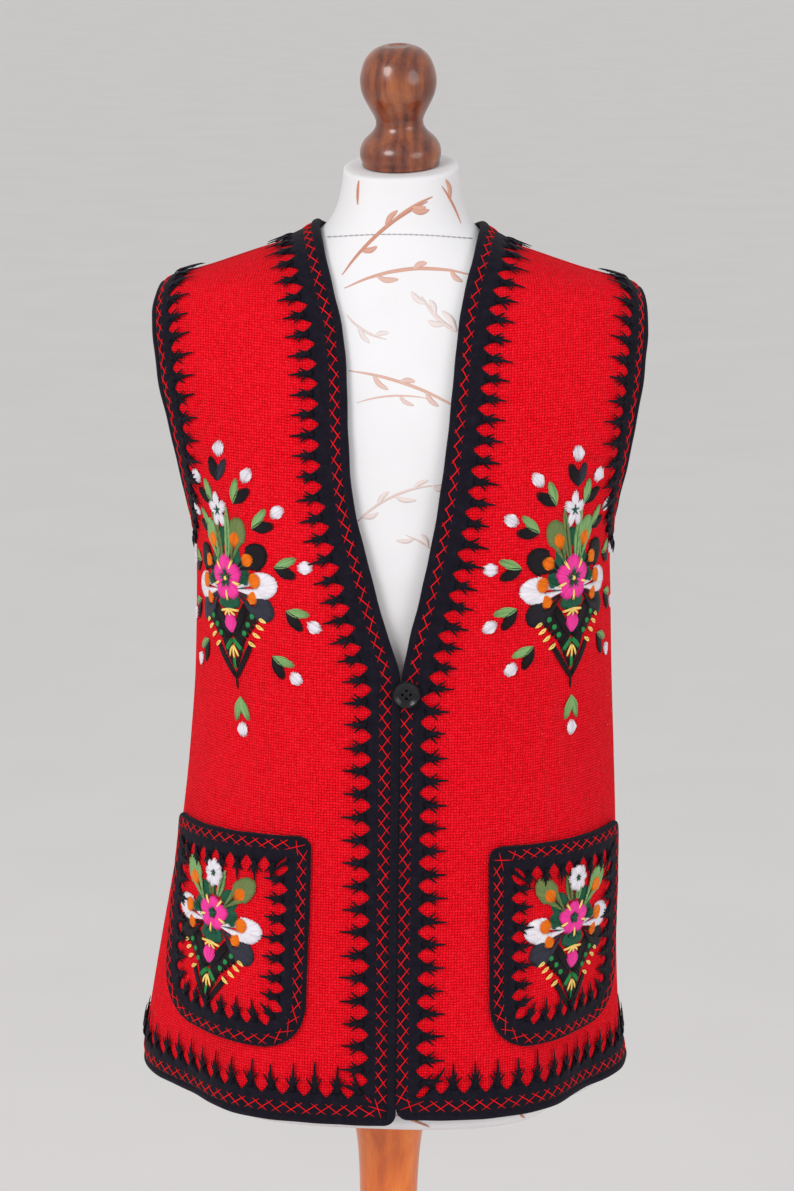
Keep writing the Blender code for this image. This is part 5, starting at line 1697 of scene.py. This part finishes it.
            sewing.add("embroidery_white", oval(bud, bud + way, 5.9, 4.3, 0.85, 0.9) * MM * scale,
                       lift=0.0006, bulge=0.0009)
    sewing.lay()
    spots = [("embroidery_knot_yellow" if full else "embroidery_knot_dark", (0, 0), 2.4, 0.0019),
             ("embroidery_knot_dark", tuple(top), 1.9, 0.0015)]
    for x, y in ((-22.8, -28.2), (-17.8, -34.2), (-13.2, -40.6)):
        for side in (1, -1):
            spots.append(("embroidery_knot_green", (x * side, y), 2.3, 0.0015))
    at = np.array([s[1] for s in spots], float) * np.array([flip, 1.0]) * MM * scale
    angle, height = place(at[:, 0], at[:, 1])
    point, _, _, normal = slopes_at(angle, height)
    for (piece, _, radius, lift), p, n in zip(spots, point, normal):
        KNOTS[piece].append((p + n * (base + lift - 0.0006), n, radius * MM * scale))


flower_motif((0.1382, 0.4047), 0.0, 1.0, 0.0, True, 1)
flower_motif((-0.1352, 0.4007), -0.14, 1.0, 0.0, True, -1)
flower_motif((0.1433, 0.1484), 0.0, 0.97, POCKET_TOP, False, 1)
flower_motif((-0.1404, 0.1484), 0.07, 0.97, POCKET_TOP, False, -1)


# Row of crossed stitches: places of its two threads along and across one unit (0 is the outer line),
# and the tone of each. The second thread's lower tone is painted shade on that slant of the same red
# thread
CROSS_UNIT = (((0.0, 1.0), (1.05, 0.0), 1.0), ((0.45, 0.0), (1.50, 1.0), 0.62))


def edge_sewing(path, phase, sizes, base, y_shift, spike, near, far, unit_long, flip=1):
    """Thread spikes over the teeth, and the row of crossed red stitches between two depths."""
    peak = sizes[1]
    count = len(path.angle)
    at = np.arange(count + 1) if path.closed else np.arange(count)
    full_phase = np.r_[phase, round(phase[-1])] if path.closed else phase
    sewing = Sewing(lambda run, depth: on_edge(path, run, depth), base, y_shift)
    teeth = int(round(full_phase[-1]))
    middle = np.interp(np.arange(teeth) + 0.5, full_phase, at)
    gaps = np.interp(np.arange(teeth + 1), full_phase, at)
    pitch = gaps[1:] - gaps[:-1]
    spikes = np.interp(middle, np.arange(count), np.broadcast_to(spike, count))
    for run, wide, spike in zip(middle, pitch, spikes):
        reach = peak + (0.0108 + dice.normal(0, 0.0009)) * spike
        root = peak - 0.0052
        scale = wide / 17.0
        lean = dice.normal(0, 0.55)
        sewing.add("spike_threads", [[(run + lean * 0.2, root), (run + lean, reach)]], width=0.0032,
                   thick=0.0016, lift=0.0003, bulge=0.0004, tone=0.66, pointed=True)
        lines = []
        for side in (-1, 1):
            lines.append([(run - side * 1.0 * scale, root + 0.0005),
                          (run + side * (6.0 + dice.normal(0, 0.45)) * scale,
                           peak + (0.0034 + dice.normal(0, 0.0005)) * spike)])
            lines.append([(run - side * 0.3 * scale, root + 0.0028),
                          (run + side * (2.7 + dice.normal(0, 0.35)) * scale,
                           peak + (0.0046 + dice.normal(0, 0.0006)) * spike)])
        sewing.add("spike_threads", lines, width=0.0025, thick=0.0014, lift=0.0002, bulge=0.0005,
                   tone=0.55, pointed=True)
        lines = []
        for k in range(5):
            x = (k - 2) * 1.45 * scale
            lines.append([(run + x, root - 0.0020 + abs(x) * 0.0003),
                          (run - x * 0.35, peak - 0.0008 + 0.0003 * k)])
        sewing.add("spike_threads", lines, width=0.0013, thick=0.0010, lift=0.0004, bulge=0.0007,
                   tone=0.45)
    run = np.arange(count)
    near, far = np.broadcast_to(near, count), np.broadcast_to(far, count)
    step = run_length(surface(*on_edge(path, run, (near + far) / 2)))
    units = max(1, int(round(step[-1] / unit_long)))
    unit = step[-1] / units
    for start, end, tone in CROSS_UNIT:
        lines = []
        for k in range(units):
            ends = []
            for along, over in (start, end):
                if flip < 0:
                    along = 1.5 - along
                place = np.interp((k + along) * unit + dice.normal(0, 0.0003), step, run)
                low, high = np.interp(place, run, near), np.interp(place, run, far)
                ends.append((place, low + (high - low) * over + dice.normal(0, 0.0002)))
            lines.append(ends)
        sewing.add("cross_stitch", lines, width=0.00075, thick=0.0006, lift=0.0001, bulge=0.0004,
                   tone=tone)
    sewing.lay()


def front_row(path):
    """Inner and outer depth of the crossed row along a front: hem, closed part, neck."""
    neck = eased(path.height, V_POINT_H - 0.004, V_POINT_H + 0.03)
    hem = 1 - eased(path.height, 0.006, 0.014)
    near = 0.0066 * (1 - neck) + 0.0050 * neck
    far = 0.0152 * (1 - neck) + 0.0126 * neck
    return near + 0.0008 * hem, far + 0.0006 * hem


for one_side in (-1, 1):
    path = FRONT_PATHS[one_side]
    long_hem = 1.0 + 0.35 * (1 - eased(path.height, 0.006, 0.030))
    edge_sewing(path, phases["front", one_side], FRONT_TEETH, BAND_TOP, -HALF_GAP, long_hem,
                *front_row(path), 0.0113, one_side)
    path = ARM_PATHS[one_side]
    short_low = 0.25 + 0.80 * eased(path.height, 0.440, 0.475)
    edge_sewing(path, phases["arm", one_side], ARMHOLE_TEETH, BAND_TOP, 0.0, short_low,
                0.0066, 0.0122, 0.0108, one_side)
    edge_sewing(POCKETS[one_side], phases["pocket", one_side], POCKET_TEETH,
                POCKET_BAND_LIFT + BAND_THICK, 0.0, 0.85, 0.0022, 0.0096, 0.0110, one_side)
edge_sewing(BACK_HEM, phases["hem", 0], FRONT_TEETH, BAND_TOP, HALF_GAP, 1.35, 0.0074, 0.0158, 0.0106)
edge_sewing(BACK_NECK, phases["neck", 0], FRONT_TEETH, BAND_TOP, HALF_GAP, 1.0, 0.0066, 0.0140, 0.0106)

# Dark and light tone of each colour of thread
COLOURS = {
    "embroidery_pink": ((0.50, 0.008, 0.17), (0.93, 0.050, 0.38)),
    "embroidery_orange": ((0.56, 0.085, 0.001), (0.88, 0.205, 0.003)),
    "embroidery_white": ((0.42, 0.38, 0.47), (0.84, 0.81, 0.87)),
    "embroidery_yellow": ((0.66, 0.42, 0.06), (0.95, 0.72, 0.22)),
    "embroidery_green_light": ((0.06, 0.15, 0.04), (0.25, 0.45, 0.17)),
    "embroidery_green_olive": ((0.060, 0.090, 0.025), (0.17, 0.23, 0.075)),
    "embroidery_green_dark": ((0.002, 0.035, 0.018), (0.010, 0.105, 0.055)),
    "embroidery_green_bright": ((0.004, 0.10, 0.025), (0.020, 0.27, 0.070)),
    "embroidery_black": ((0.0012, 0.0008, 0.0014), (0.0075, 0.0048, 0.0080)),
    "embroidery_black_soft": ((0.0020, 0.0016, 0.0030), (0.0130, 0.0105, 0.0170)),
    "embroidery_grey": ((0.004, 0.005, 0.008), (0.034, 0.036, 0.056)),
}
for name, tones in COLOURS.items():
    strand_mesh(name, thread(name, *tones))
strand_mesh("spike_threads", BLACK_THREAD)
strand_mesh("cross_stitch", RED_THREAD)
for name, like in (("embroidery_knot_yellow", "embroidery_yellow"),
                   ("embroidery_knot_green", "embroidery_green_bright"),
                   ("embroidery_knot_dark", "embroidery_green_dark")):
    knot_mesh(name, thread(name, *COLOURS[like]), KNOTS[name])


# Floor, light and camera
def floor():
    t = Tree("floor_paint", 0.9, (0.80, 0.79, 0.79), specular=0.1)
    t.colour(t.noise(t.place(), 3.0, 2.0), (0.3, (0.79, 0.78, 0.78)), (0.7, (0.81, 0.80, 0.80)))
    mesh = bpy.data.meshes.new("floor")
    rim = [(60 * math.cos(k * math.pi / 24), 60 * math.sin(k * math.pi / 24), 0.0) for k in range(48)]
    mesh.from_pydata(rim, [], [list(range(48))])
    obj = bpy.data.objects.new("floor", mesh)
    bpy.context.scene.collection.objects.link(obj)
    mesh.materials.append(t.look)


def lamp(name, place, aim, energy, size, colour):
    data = bpy.data.lights.new(name, "AREA")
    data.shape = "DISK"
    data.size = size
    data.energy = energy
    data.color = colour
    obj = bpy.data.objects.new(name, data)
    bpy.context.scene.collection.objects.link(obj)
    obj.location = place
    way = np.array(aim, float) - np.array(place, float)
    obj.rotation_mode = "QUATERNION"
    obj.rotation_quaternion = Vector(way).to_track_quat("-Z", "Y")


floor()
world = bpy.data.worlds.new("studio")
bpy.context.scene.world = world
world.use_nodes = True
background = world.node_tree.nodes["Background"]
background.inputs["Color"].default_value = (1.0, 0.99, 0.98, 1.0)
background.inputs["Strength"].default_value = 0.72
lamp("key", (-1.7, -2.4, 2.6), (0, 0, 1.05), 50.0, 1.4, (1.0, 0.98, 0.96))
lamp("fill", (2.0, -1.9, 1.7), (0, 0, 1.0), 18.0, 1.6, (1.0, 0.98, 0.97))

CAMERA_AT = (0.001, -2.75, 1.642)
CAMERA_DOWN = math.radians(11.76)
CAMERA_ROLL = 0.012
camera_data = bpy.data.cameras.new("camera")
camera_data.sensor_width = 36.0
camera_data.lens = 112.6
camera = bpy.data.objects.new("camera", camera_data)
bpy.context.scene.collection.objects.link(camera)
camera.matrix_world = (Matrix.Translation(CAMERA_AT)
                       @ Matrix.Rotation(math.pi / 2 - CAMERA_DOWN, 4, "X")
                       @ Matrix.Rotation(CAMERA_ROLL, 4, "Z"))
bpy.context.scene.camera = camera
bpy.context.scene.view_settings.view_transform = "Standard"
